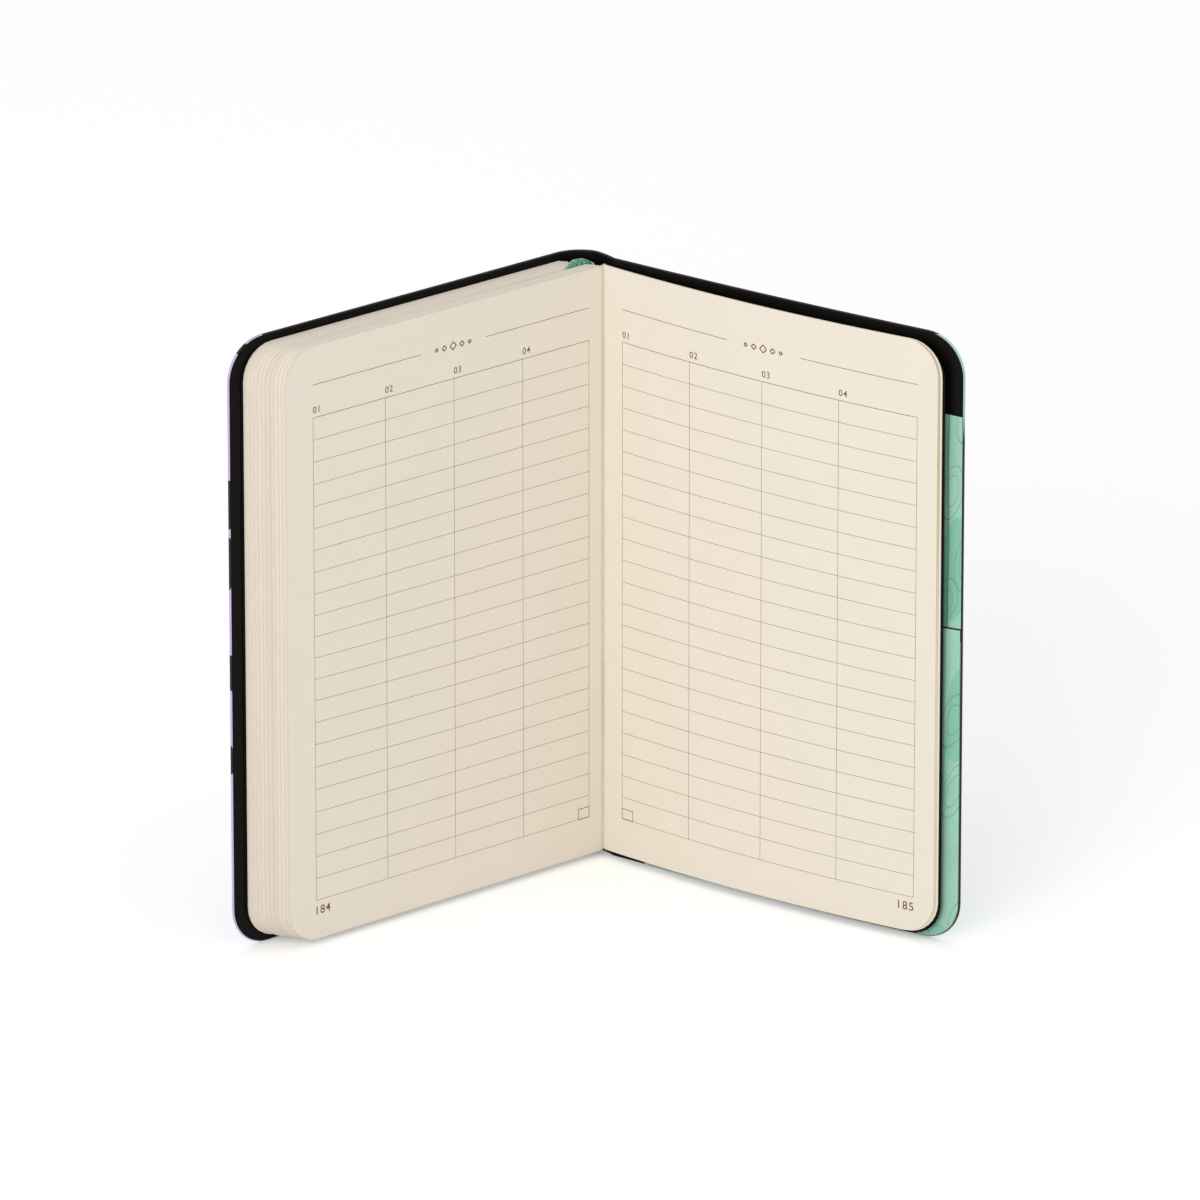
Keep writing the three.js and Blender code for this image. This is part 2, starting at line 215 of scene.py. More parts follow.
def page_courses(sizes):
    """The lines of the left page, the right page and the back cover, from the gutter."""
    curl = math.degrees(sizes.page_curl)
    bow = math.degrees(sizes.cover_bow)

    def right_page(s):
        return -(RIGHT_ANGLE + curl * (1 - 2 * min(s / LEAF_WIDTH, 1.0)))

    def back_cover(s):
        return -(RIGHT_ANGLE - COVER_FAN + bow * math.cos(math.pi * min(s / BACK_END, 1.0)))

    left = Course([GUTTER, GUTTER + direction(180 + LEFT_ANGLE) * COURSE_LENGTH], -1)
    return left, bent_course(right_page), bent_course(back_cover)


# The spine panel and the soft strip are curves: their directions where they meet and where the
# strip meets the back cover, and the lengths of their handles
SPINE_LEAVING = np.array([0.68, -0.73])
STRIP_ARRIVING = np.array([0.45, -0.89])
SPINE_HANDLES = (5.2, 3.4)
STRIP_HANDLES = (2.2, 2.0)


def spine_courses(sizes):
    """The outer lines of the spine panel and of the soft strip beside it, depth inwards."""
    left, _, cover = page_courses(sizes)
    start = left.at(FRONT_START, FRONT_FACE)
    spine = bezier(start, start + direction(LEFT_ANGLE) * SPINE_HANDLES[0],
                   SPINE_END - SPINE_LEAVING * SPINE_HANDLES[1], SPINE_END, 24)
    edge = cover.at(BACK_START, BACK_FACE)
    strip = bezier(SPINE_END, SPINE_END + SPINE_LEAVING * STRIP_HANDLES[0],
                   edge - STRIP_ARRIVING * STRIP_HANDLES[1], edge, 16)
    return Course(spine, -1), Course(strip, -1)


class MeshParts:
    """Closed solids gathered for one mesh, with the place of each point on its flat sheet."""

    def __init__(self):
        self.points = []
        self.places = []
        self.tones = []
        self.faces = []

    def add_points(self, plan, z, s, depth, tone=0.5):
        """Add points given by their plan and height, and return their numbers."""
        first = len(self.points)
        plan = np.asarray(plan, float).reshape(-1, 2)
        z, s, depth = (np.broadcast_to(value, len(plan)) for value in (z, s, depth))
        for (x, y), height, along, deep in zip(plan, z, s, depth):
            self.points.append((x, y, height))
            self.places.append((along, height, deep))
            self.tones.append(tone)
        return list(range(first, len(self.points)))

    def add_face(self, corners):
        self.faces.append(tuple(corners))

    def add_slab(self, near, far):
        """Faces of a closed slab between two grids of point numbers that are laid out alike."""
        rows, columns = len(near) - 1, len(near[0]) - 1
        for r in range(rows):
            for c in range(columns):
                for grid in (near, far):
                    self.add_face((grid[r][c], grid[r][c + 1], grid[r + 1][c + 1], grid[r + 1][c]))
            for c in (0, columns):
                self.add_face((near[r][c], near[r + 1][c], far[r + 1][c], far[r][c]))
        for r in (0, rows):
            for c in range(columns):
                self.add_face((near[r][c], near[r][c + 1], far[r][c + 1], far[r][c]))

    def build(self, name, finish, sharp=35.0):
        """Make the mesh object, in metres. Edges are sharp where faces meet at more than sharp."""
        mesh = bpy.data.meshes.new(name)
        mesh.from_pydata([(x * MM, y * MM, z * MM) for x, y, z in self.points], [], self.faces)
        place = mesh.attributes.new("place", "FLOAT_VECTOR", "POINT")
        place.data.foreach_set("vector", (np.array(self.places) * MM).astype(np.float32).ravel())
        tone = mesh.attributes.new("tone", "FLOAT", "POINT")
        tone.data.foreach_set("value", np.array(self.tones, np.float32))
        mesh.materials.append(finish)
        solid = bmesh.new()
        solid.from_mesh(mesh)
        bmesh.ops.recalc_face_normals(solid, faces=solid.faces)
        solid.to_mesh(mesh)
        solid.free()
        mesh.shade_smooth()
        mesh.set_sharp_from_angle(angle=math.radians(sharp))
        piece = bpy.data.objects.new(name, mesh)
        bpy.context.collection.objects.link(piece)
        return piece


class Sheet:
    """A sheet on a course, with round corners at its fore edge and, if asked, at its start.

    It is laid out in columns, from tail to head. The straight columns stand at the stations,
    and the rest follow the round corners. A sheet without a radius is cut off at its end, and
    has no rim there.
    """

    def __init__(self, course, stations, tail, head, radius=0.0, round_head=True,
                 round_start=False, dip=0.0, rows=1, arc_steps=8):
        self.course = course
        self.stations = np.asarray(stations, float)
        self.tail = tail
        self.head = head
        self.radius = radius
        self.round_head = round_head
        self.round_start = round_start
        self.cut_end = radius == 0
        self.dip = dip
        self.rows = rows
        self.arc = np.radians(np.linspace(0, 90, arc_steps + 1))[1:]

    def head_at(self, s):
        """The head edge, which may be cut slightly hollow between the sheet's ends."""
        first, last = self.stations[0], self.stations[-1] + self.radius
        u = np.clip((s - first) / (last - first), 0, 1)
        return self.head - self.dip * 4 * u * (1 - u)

    def columns(self, inset):
        """s, tail and head of each column of the outline drawn in by inset."""
        s = self.stations.copy()
        tail = np.full(len(s), self.tail + inset)
        head = self.head_at(s) - inset
        if self.cut_end:
            return s, tail, head
        reach = self.radius - inset
        out = reach * np.sin(self.arc)
        drop = self.radius - reach * np.cos(self.arc)
        arc_s = self.stations[-1] + out
        arc_head = self.head - drop if self.round_head else self.head_at(arc_s) - inset
        s = np.concatenate([s, arc_s])
        tail = np.concatenate([tail, self.tail + drop])
        head = np.concatenate([head, arc_head])
        if self.round_start:
            s = np.concatenate([(self.stations[0] - out)[::-1], s])
            tail = np.concatenate([(self.tail + drop)[::-1], tail])
            head = np.concatenate([(self.head - drop)[::-1], head])
        return s, tail, head

    def add_to(self, parts, levels, wave=None, tone=0.5):
        """Add the sheet as one closed solid.

        levels are (inset, depth) pairs from one face round the rim to the other face, and
        wave(s) is a depth added to them.
        """
        grids = []
        last = len(levels) - 1
        rows = self.rows
        for k, (inset, depth) in enumerate(levels):
            s, tail, head = self.columns(inset)
            count = len(s) - 1
            rim = ([0] if self.round_start else []) + ([] if self.cut_end else [count])
            grid = {}
            for r in range(rows + 1):
                whole = k in (0, last) or r in (0, rows)
                chosen = list(range(count + 1)) if whole else rim
                if not chosen:
                    continue
                z = tail + (head - tail) * r / rows
                deep = depth + (wave(s[chosen]) if wave else 0.0)
                numbers = parts.add_points(
                    self.course.at(s[chosen], deep), z[chosen], s[chosen], depth, tone)
                grid.update({(c, r): n for c, n in zip(chosen, numbers)})
            grids.append(grid)
        for grid in (grids[0], grids[last]):
            for c in range(count):
                for r in range(rows):
                    ring = ((c, r), (c + 1, r), (c + 1, r + 1), (c, r + 1))
                    parts.add_face([grid[key] for key in ring])
        steps = [((c, r), (c + 1, r)) for c in range(count) for r in (0, rows)]
        if not self.cut_end:
            steps += [((count, r), (count, r + 1)) for r in range(rows)]
        if self.round_start:
            steps += [((0, r), (0, r + 1)) for r in range(rows)]
        for near, far in zip(grids, grids[1:]):
            for a, b in steps:
                parts.add_face([near[a], near[b], far[b], far[a]])
        ends = ([] if self.round_start else [0]) + ([count] if self.cut_end else [])
        for c in ends:
            ring = [grids[0][c, r] for r in range(rows + 1)]
            ring += [grid[c, rows] for grid in grids[1:-1]]
            ring += [grids[last][c, r] for r in range(rows, -1, -1)]
            ring += [grid[c, 0] for grid in grids[-2:0:-1]]
            parts.add_face(ring)


def spaced(start, end, near=10.0):
    """Columns 1 mm apart near the fold and at most 4 mm apart after it."""
    bend = np.linspace(start, start + near, int(near) + 1)
    rest = np.linspace(start + near, end, int((end - start - near) / 4) + 2)[1:]
    return np.concatenate([bend, rest])


def add_band(parts, plan, tail, head, thickness, s, rows):
    """A folded strip of even thickness along a plan line, with its own tail and head per point."""
    line = Course(plan, 1)
    tail, head = (np.broadcast_to(value, len(line.lengths)) for value in (tail, head))
    levels = [tail + (head - tail) * r / rows for r in range(rows + 1)]
    sides = []
    for depth in (-thickness / 2, thickness / 2):
        spots = line.at(line.lengths, depth)
        sides.append([parts.add_points(spots, z, s, depth) for z in levels])
    parts.add_slab(*sides)


def metres(plan):
    """A plan point in millimetres as a point on the ground in metres."""
    return Vector((plan[0] * MM, plan[1] * MM, 0.0))


def settle(piece, node, body=None):
    """Hide the piece's CAD node, and let the piece ride on a body if one is given."""
    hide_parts(node)
    if body:
        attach(piece, body)


def bend_at_fold(piece, course, depth=0.0, start=0.2, end=9.0):
    """Bake the sheet's transform into its mesh; the points at start and end are worked out but not used.
    """
    metres(course.at(start, depth))
    metres(course.at(end, depth))
    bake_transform(piece)


# Colours

WHITE = (1.0, 1.0, 1.0, 1.0)


def linear(code):
    """A colour written as on the screen, such as "ebe2d3", as linear red, green, blue and 1."""
    values = [int(code[i:i + 2], 16) / 255 for i in (0, 2, 4)]
    return (*[v / 12.92 if v <= 0.04045 else ((v + 0.055) / 1.055) ** 2.4 for v in values], 1.0)


def colour_property(name, description, code):
    return FloatVectorProperty(name=name, description=description, subtype="COLOR", size=4,
                               min=0.0, max=1.0, default=linear(code))


def angle_property(name, description, degrees, most):
    return FloatProperty(name=name, description=description, subtype="ANGLE", min=0.0,
                         max=math.radians(most), default=math.radians(degrees))


def length_property(name, description, size, most, least=0.0):
    """A small length in metres. Size, most and least are in millimetres."""
    return FloatProperty(name=name, description=description, unit="LENGTH", precision=5,
                         min=least * MM, max=most * MM, default=size * MM)


def count_property(name, description, count, least, most):
    return IntProperty(name=name, description=description, default=count, min=least, max=most)


class NotebookSizes(bpy.types.PropertyGroup):
    page_curl: angle_property(
        "Page curl", "How much steeper the right leaves rise at the gutter", 6.5, 12)
    cover_bow: angle_property("Cover bow", "Bend of the back cover from its hinge to its middle", 1.9, 4)
    leaf_stagger: length_property(
        "Leaf stagger", "How far single leaves stand out of line at the fore edge", 0.04, 0.5)
    section_stagger: length_property(
        "Section stagger", "How far whole sections stand out of line", 0.1, 1.0)
    rule_width: length_property("Rule width", "Width of the thin printed lines", 0.11, 0.5, 0.05)
    rule_rows: count_property("Rows", "Rows in the printed table", 22, 1, 60)
    rule_columns: count_property("Columns", "Columns in the printed table", 4, 1, 8)
    left_page_number: count_property(
        "Left page number", "Plain number at the foot of the left page", 184, 0, 998)


class NotebookColours(bpy.types.PropertyGroup):
    paper: colour_property("Paper", "Cream paper of the leaves", "ebe2d3")
    # The leaf edge colour is painted shadow: the strip of the leaf under the right page where that
    # page's edge shades it
    leaf_edge_shadow: colour_property("Leaf edge", "Tanned rim of the leaf under the right page", "c3b596")
    ink: colour_property("Ink", "Grey-brown ink of the ruling", "70583c")
    lining: colour_property("Lining", "Black lining paper and flyleaves", "0f0c0a")
    lilac: colour_property("Lilac", "Ground of the front cover", "c9b8e2")
    lilac_line: colour_property("Lilac line", "Thin outlines on the front cover", "efe9f5")
    # This black also paints the shadows in the pocket's mouth and on the back cover's lower rim
    print_and_shadow_black: colour_property("Cover print", "Dark print on both covers", "171416")
    mint: colour_property("Mint", "Ground of the pocket paper", "98cab5")
    mint_shade: colour_property("Mint shade", "Darker shapes on the pocket paper", "82bfa6")
    # This colour also paints the shade beside the ridge on the pocket's back panel
    mint_line_and_shade: colour_property("Mint line", "Outlines on the pocket paper", "54867a")
    pale_mint: colour_property("Pale mint", "Ground of the back cover", "a9d3c3")
    pale_mint_line: colour_property("Pale mint line", "Thin outlines on the back cover", "e2f3ec")
    ribbon: colour_property("Ribbon", "Woven ribbon", "4d9a7d")
    board: colour_property("Board", "Grey board in the covers", "8b867e")
    thread: colour_property("Thread", "Sewing thread", "efe9dd")
    floor: colour_property("Floor", "Plain pale floor", "f7f7f7")


def notebook_settings(context):
    """The notebook's sizes and colours."""
    return context.scene.notebook_sizes, context.scene.notebook_colours


# The covers' head and tail edges are dark over this width
DARK_EDGE = 0.5

# Height of the painted shadow strip above the mouth, and the distance of the painted ridge
# shade from the pocket's fore edge
MOUTH_SHADE = 0.4
RIDGE_INSET = 4.0


# Shader helpers

def tint(colour, factor):
    """The colour made darker, or lighter where the factor is above 1."""
    return (colour[0] * factor, colour[1] * factor, colour[2] * factor, 1.0)


class Shader:
    """A node tree with short calls to add and join nodes."""

    def __init__(self, tree):
        self.tree = tree

    def node(self, kind, settings=None, **inputs):
        node = self.tree.nodes.new(kind)
        for key, value in (settings or {}).items():
            setattr(node, key, value)
        for key, value in inputs.items():
            self.set(node, key.replace("_", " "), value)
        return node

    def set(self, node, key, value):
        """Link a socket, given by its name or number, to another one, or give it a value."""
        socket = node.inputs[key]
        if isinstance(value, bpy.types.NodeSocket):
            self.tree.links.new(value, socket)
        else:
            socket.default_value = value

    def feed(self, node, *values):
        """Set the node's first sockets in order, and return its first output."""
        for index, value in enumerate(values):
            self.set(node, index, value)
        return node.outputs[0]

    def math(self, operation, a, b=0.0, c=0.0, clamp=False):
        node = self.node("ShaderNodeMath", {"operation": operation, "use_clamp": clamp})
        return self.feed(node, a, b, c)

    def vectors(self, operation, *values):
        return self.feed(self.node("ShaderNodeVectorMath", {"operation": operation}), *values)

    def times(self, first, *others):
        for value in others:
            first = self.math("MULTIPLY", first, value)
        return first

    def minus(self, a, b):
        return self.math("SUBTRACT", a, b)

    def apart(self, a, b):
        """How far two numbers are apart."""
        return self.math("ABSOLUTE", self.minus(a, b))

    def most(self, first, *others):
        """The largest of some numbers."""
        for value in others:
            first = self.math("MAXIMUM", first, value)
        return first

    def ramp(self, value, slope, base, clamp=False):
        """value * slope + base."""
        return self.math("MULTIPLY_ADD", value, slope, base, clamp)

    def mix(self, factor, a, b, blend="MIX"):
        """Mix two colours."""
        node = self.node("ShaderNodeMix", {"data_type": "RGBA", "blend_type": blend})
        for index, value in ((0, factor), (6, a), (7, b)):
            self.set(node, index, value)
        return node.outputs[2]

    def shades(self, factor, colour, first, second):
        """Mix two tints of a colour, which are darker or lighter by these factors."""
        return self.mix(factor, tint(colour, first), tint(colour, second))

    def axes(self, vector):
        """The X, Y and Z of a vector."""
        return self.node("ShaderNodeSeparateXYZ", Vector=vector).outputs

    def noise(self, vector, size, detail, roughness=0.5):
        """Noise from 0 to 1, with a finer grain for a larger size."""
        node = self.node("ShaderNodeTexNoise", Vector=self.scaled(vector, size), Scale=1.0,
                         Detail=detail, Roughness=roughness)
        return node.outputs["Fac"]

    def scaled(self, vector, size):
        """A vector scaled by a number or by three numbers."""
        size = size if isinstance(size, tuple) else (size, size, size)
        node = self.node("ShaderNodeMapping", Vector=vector, Scale=size)
        return node.outputs["Vector"]

    def above(self, value, low, high):
        """0 below low, 1 above high and smooth between."""
        node = self.node("ShaderNodeMapRange", {"interpolation_type": "SMOOTHSTEP"},
                         Value=value, From_Min=low, From_Max=high)
        return node.outputs["Result"]

    def below(self, value, low, high):
        """1 below low, 0 above high and smooth between."""
        return self.minus(1.0, self.above(value, low, high))

    def attribute(self, name, output):
        return self.node("ShaderNodeAttribute", {"attribute_name": name}).outputs[output]

    def found(self, kind):
        """The tree's first node of this type."""
        return next(node for node in self.tree.nodes if node.type == kind)

    def effect(self, group, **inputs):
        """The outputs of a node group that is fed with these inputs."""
        return self.node("ShaderNodeGroup", {"node_tree": group}, **inputs).outputs


def effect_group(name, inputs, outputs, fill):
    """A shader node group made once, with these outputs, all of them numbers.

    fill(shader, inputs) returns the sockets that feed them, by name.
    """
    if name in bpy.data.node_groups:
        return bpy.data.node_groups[name]
    tree = bpy.data.node_groups.new(name, "ShaderNodeTree")
    for label, kind, value in inputs:
        socket = tree.interface.new_socket(label, in_out="INPUT", socket_type=kind)
        if value is not None:
            socket.default_value = value
    for label in outputs:
        tree.interface.new_socket(label, in_out="OUTPUT", socket_type="NodeSocketFloat")
    entry = tree.nodes.new("NodeGroupInput")
    leaving = tree.nodes.new("NodeGroupOutput")
    made = fill(Shader(tree), entry.outputs)
    for label, socket in made.items():
        tree.links.new(socket, leaving.inputs[label])
    return tree


def fibre_group():
    """Mottled fibres, as in uncoated paper: a tone from 0 to 1 and a height."""
    def fill(shader, given):
        cloud = shader.noise(given["Place"], 90.0, 3.0, 0.6)
        fibres = shader.noise(given["Place"], (1500.0, 700.0, 1500.0), 4.0, 0.7)
        speck = shader.noise(given["Place"], 6000.0, 2.0)
        tone = shader.ramp(cloud, 0.55, shader.times(fibres, 0.45))
        height = shader.ramp(fibres, 0.7, shader.times(speck, 0.3))
        tone = shader.ramp(shader.minus(tone, 0.5), given["Contrast"], 0.5)
        return {"Tone": tone, "Height": height}
    return effect_group(
        "Paper fibres",
        [("Place", "NodeSocketVector", None), ("Contrast", "NodeSocketFloat", 1.0)],
        ("Tone", "Height"), fill)


# Size of a printed oval and of the line inside it, as a share of the distance between ovals,
# and its width as a share of its length
OVAL_EDGE = 0.335
OVAL_INNER_LINE = 0.2
OVAL_STRETCH = 0.42


def ovals_group():
    """Scattered long ovals: masks of their shapes and of their outlines."""
    def fill(shader, given):
        bend = shader.node("ShaderNodeTexNoise", Vector=shader.scaled(given["Place"], 28.0),
                           Scale=1.0, Detail=1.0)
        shift = shader.node("ShaderNodeVectorMath", {"operation": "SCALE"},
                            Vector=bend.outputs["Color"], Scale=given["Bend"])
        moved = shader.vectors("ADD", given["Place"], shift.outputs[0])
        leaning = shader.node("ShaderNodeVectorRotate", {"rotation_type": "Z_AXIS"},
                              Vector=moved, Angle=given["Lean"])
        stretched = shader.vectors("MULTIPLY", leaning.outputs[0], (1.0, OVAL_STRETCH, 0.0))
        cells = shader.node("ShaderNodeTexVoronoi", {"voronoi_dimensions": "2D", "feature": "F1"},
                            Vector=stretched, Scale=given["Scale"], Randomness=0.85)
        distance = cells.outputs["Distance"]
        inside = shader.below(distance, OVAL_EDGE - 0.005, OVAL_EDGE + 0.01)
        ring = shader.apart(distance, OVAL_EDGE)
        line = shader.below(ring, 0.004, 0.012)
        ring = shader.apart(distance, OVAL_INNER_LINE)
        inner = shader.below(ring, 0.003, 0.01)
        colour = shader.node("ShaderNodeSeparateColor", Color=cells.outputs["Color"])
        return {"Shape": inside, "Line": shader.most(line, inner),
                "Variation": colour.outputs[0]}
    return effect_group(
        "Scattered ovals",
        [("Place", "NodeSocketVector", None), ("Scale", "NodeSocketFloat", 60.0),
         ("Lean", "NodeSocketFloat", 0.5), ("Bend", "NodeSocketFloat", 0.01)],
        ("Shape", "Line", "Variation"), fill)


def new_material(name):
    """A material with its node tree, its Principled shader and the place on the flat sheet."""
    material = bpy.data.materials.new(name)
    material.use_nodes = True
    tree = material.node_tree
    tree.nodes.clear()
    shader = Shader(tree)
    surface = shader.node("ShaderNodeBsdfPrincipled")
    output = shader.node("ShaderNodeOutputMaterial")
    tree.links.new(surface.outputs[0], output.inputs["Surface"])
    place = shader.attribute("place", "Vector")
    return material, shader, surface, place


def dress(shader, surface, colour, roughness, height=None, rise=0.0, **levels):
    """Give the surface its colour, its roughness, other plain levels and bumps.

    The bumps' height runs from 0 to 1, and rise is what it is worth, in metres.
    """
    shader.set(surface, "Base Color", colour)
    shader.set(surface, "Roughness", roughness)
    for key, value in levels.items():
        shader.set(surface, key.replace("_", " "), value)
    if height:
        bump = shader.node("ShaderNodeBump", Height=height, Distance=rise, Strength=1.0)
        shader.set(surface, "Normal", bump.outputs["Normal"])


# Roughness of each paper, contrast of its fibres, height of its bumps in metres, and its gloss
CREAM_PAPER = (0.78, 0.5, 0.00002, 0.25)
BLACK_PAPER = (0.42, 1.6, 0.00004, 0.07)
GREY_BOARD = (0.85, 2.5, 0.00005, 0.25)


def paper_material(name, colour, roughness, contrast, bump, gloss):
    """Paper whose fibres vary its tone, its roughness and its height."""
    material, shader, surface, place = new_material(name)
    fibres = shader.effect(fibre_group(), Place=place, Contrast=contrast)
    leaf_tone = shader.minus(shader.attribute("tone", "Fac"), 0.5)
    shade = shader.ramp(leaf_tone, 1.2, fibres["Tone"], clamp=True)
    toned = shader.shades(shade, colour, 0.9, 1.08)
    rough = shader.ramp(fibres["Tone"], 0.12, roughness)
    dress(shader, surface, toned, rough, fibres["Height"], bump, Specular_IOR_Level=gloss)
    return material


def edge_shadow_material(name, colours, edge):
    """The cream paper with a tan painted shadow outside a round-cornered outline that ends at edge, in
    mm, where the leaf above shades it.

    The painted shadow begins 2 to 5 mm past the corners' centres, and is half as strong low on the leaf.
    """
    material = paper_material(name, colours.paper, *CREAM_PAPER)
    shader = Shader(material.node_tree)
    surface = shader.found("BSDF_PRINCIPLED")
    cream = surface.inputs["Base Color"].links[0].from_socket
    spot = shader.axes(shader.attribute("place", "Vector"))
    across = shader.most(shader.minus(spot["X"], (edge - LEAF_CORNER) * MM), 0.0)
    over = shader.minus(spot["Y"], (LEAF_HEAD - LEAF_CORNER) * MM)
    under = shader.minus((LEAF_TAIL + LEAF_CORNER) * MM, spot["Y"])
    up = shader.most(over, under, 0.0)
    squares = shader.ramp(across, across, shader.times(up, up))
    outside = shader.above(shader.math("SQRT", squares), (LEAF_CORNER - 0.1) * MM, LEAF_CORNER * MM)
    beside = shader.above(across, 2 * MM, 5 * MM)
    fading = shader.ramp(shader.above(spot["Y"], 70 * MM, 150 * MM), 0.5, 0.5)
    # Painted shadow of the leaf above, in a tan colour
    shadowed = shader.mix(shader.times(outside, beside, fading), cream, colours.leaf_edge_shadow)
    shader.set(surface, "Base Color", shadowed)
    return material


def ink_material(name, colour):
    """Ink whose tone and height follow the fibres of the paper."""
    material, shader, surface, place = new_material(name)
    fibres = shader.effect(fibre_group(), Place=place, Contrast=2.0)
    toned = shader.shades(fibres["Tone"], colour, 0.75, 1.3)
    dress(shader, surface, toned, 0.8, fibres["Height"], 0.00001, Specular_IOR_Level=0.2)
    return material


def cover_material(name, ground, ink, line, origin, side, face, dark_end, rim_marks=False,
                   rim_dark=0.0):
    """Printed cover skin with a soft touch finish: ovals on a ground, with a dark head and tail.

    The print runs on from piece to piece: origin is where the piece begins in it, in mm, and
    side is 1 or -1 for the way in which the piece runs. Face is the depth of its outer face.
    Its head is dark up to dark_end, in mm from the spine.
    The turned rim is plain, with small marks on it, or painted dark as shadow up to the height rim_dark,
    in mm.
    """
    material, shader, surface, place = new_material(name)
    spot = shader.vectors("MULTIPLY_ADD", place, (side, 1.0, 0.0), (origin * MM, 0.0, 0.0))
    ovals, small = (
        shader.effect(ovals_group(), Place=spot, Scale=scale, Lean=lean, Bend=bend)
        for scale, lean, bend in ((48.0, 0.5, 0.012), (92.0, -0.5, 0.02)))
    grain = shader.effect(fibre_group(), Place=place, Contrast=1.0)
    printed = shader.mix(ovals["Shape"], ground, ink)
    printed = shader.mix(shader.times(small["Line"], 0.8), printed, line)
    along, height, depth = shader.axes(place)
    head = shader.above(height, (COVER_HEAD - DARK_EDGE - 0.1) * MM, (COVER_HEAD - DARK_EDGE) * MM)
    head = shader.times(head, shader.below(along, dark_end * MM, (dark_end + 1) * MM))
    tail = shader.below(height, DARK_EDGE * MM, (DARK_EDGE + 0.1) * MM)
    under = shader.apart(depth, face * MM)
    rim = shader.above(under, 0.05 * MM, 0.15 * MM)
    printed = shader.mix(rim, printed, ground)
    printed = shader.mix(shader.most(head, tail), printed, ink)
    if rim_marks:
        marks = shader.effect(ovals_group(), Place=place, Scale=115.0, Lean=0.3, Bend=0.015)
        chosen = shader.above(marks["Variation"], 0.3, 0.32)
        printed = shader.mix(shader.times(marks["Shape"], rim, chosen), printed, ink)
    # Painted shadow: the turned rim is made dark, in the print colour, from the tail up to the given
    # height
    if rim_dark:
        low = shader.below(height, (rim_dark - 8) * MM, rim_dark * MM)
        printed = shader.mix(shader.times(low, rim), printed, ink)
    tone = shader.shades(grain["Tone"], WHITE, 0.86, 1.0)
    printed = shader.mix(1.0, printed, tone, blend="MULTIPLY")
    rough = shader.ramp(grain["Tone"], 0.2, 0.38)
    relief = shader.ramp(small["Line"], 0.6, grain["Height"])
    dress(shader, surface, printed, rough, relief, 0.00003, Sheen_Weight=0.03,
          Specular_IOR_Level=0.35)
    return material


def mouth_shade(shader, place):
    """Mask of the painted shadow on the back panel's strip just inside the mouth."""
    along, height, _ = shader.axes(place)
    u = shader.node("ShaderNodeMapRange", Value=along, From_Min=POCKET_START * MM,
                    From_Max=POCKET_END * MM).outputs[0]
    dip = shader.times(u, shader.minus(1.0, u), 4 * MOUTH_DIP * MM)
    above = shader.minus(shader.math("ADD", height, dip), MOUTH_HEAD * MM)
    top = shader.below(above, (MOUTH_SHADE - 0.04) * MM, (MOUTH_SHADE + 0.04) * MM)
    return shader.times(top, shader.above(above, -4.0 * MM, -3.0 * MM))


def ridge_shade(shader, place):
    """Mask of painted shade on the dark side of the low ridge that the skin's edge raises in the back
    panel.
    """
    along = shader.axes(place)["X"]
    moved = shader.ramp(shader.noise(place, 40.0, 1.0), 0.8 * MM, along)
    off = shader.apart(moved, (POCKET_END - RIDGE_INSET) * MM)
    return shader.below(off, 0.15 * MM, 0.5 * MM)


def pocket_material(name, colours, back_panel=False):
    """Mint paper printed tone on tone, with thin outlines pressed into it, and painted shade on the back
    panel.
    """
    material, shader, surface, place = new_material(name)
    ovals = shader.effect(ovals_group(), Place=place, Scale=92.0, Lean=0.35, Bend=0.012)
    patches = shader.effect(ovals_group(), Place=place, Scale=50.0, Lean=0.25, Bend=0.02)
    fibres = shader.effect(fibre_group(), Place=place, Contrast=2.4)
    printed = shader.shades(fibres["Tone"], colours.mint, 0.9, 1.1)
    chosen = shader.above(patches["Variation"], 0.4, 0.42)
    printed = shader.mix(shader.times(patches["Shape"], chosen), printed, colours.mint_shade)
    printed = shader.mix(shader.times(ovals["Line"], 0.6), printed, colours.mint_line_and_shade)
    if back_panel:
        # Painted shade beside the ridge, in the outline colour
        ridge = shader.times(ridge_shade(shader, place), 0.9)
        printed = shader.mix(ridge, printed, colours.mint_line_and_shade)
        # Painted shadow just inside the pocket's mouth, in the dark print colour
        printed = shader.mix(mouth_shade(shader, place), printed, colours.print_and_shadow_black)
    rough = shader.ramp(fibres["Tone"], 0.2, 0.45)
    relief = shader.minus(shader.times(fibres["Height"], 0.5), ovals["Line"])
    dress(shader, surface, printed, rough, relief, 0.00004)
    return material


def ribbon_material(name, colours):
    """Woven ribbon with lighter and darker threads and a painted highlight along its edges."""
    material, shader, surface, place = new_material(name)
    warp, weft = (
        shader.node("ShaderNodeTexWave", {"wave_type": "BANDS", "bands_direction": bands},
                    Vector=place, Scale=scale, Distortion=distortion, Detail=2.0).outputs["Fac"]
        for bands, scale, distortion in (("X", 520.0, 1.5), ("DIAGONAL", 680.0, 2.0)))
    weave = shader.times(warp, weft)
    speck = shader.minus(shader.noise(place, 1700.0, 1.0), 0.5)
    tone = shader.ramp(speck, 7.0, weave, clamp=True)
    woven = shader.shades(tone, colours.ribbon, 0.5, 1.9)
    across = shader.math("ABSOLUTE", shader.axes(place)["X"])
    # Painted highlight along both edges, in a light mint
    edge_highlight = shader.above(across, 2.45 * MM, 2.75 * MM)
    woven = shader.mix(shader.times(edge_highlight, 0.7), woven, tint(colours.mint, 1.3))
    rough = shader.ramp(weave, -0.2, 0.55)
    dress(shader, surface, woven, rough, weave, 0.00006, Sheen_Weight=0.3)
    return material


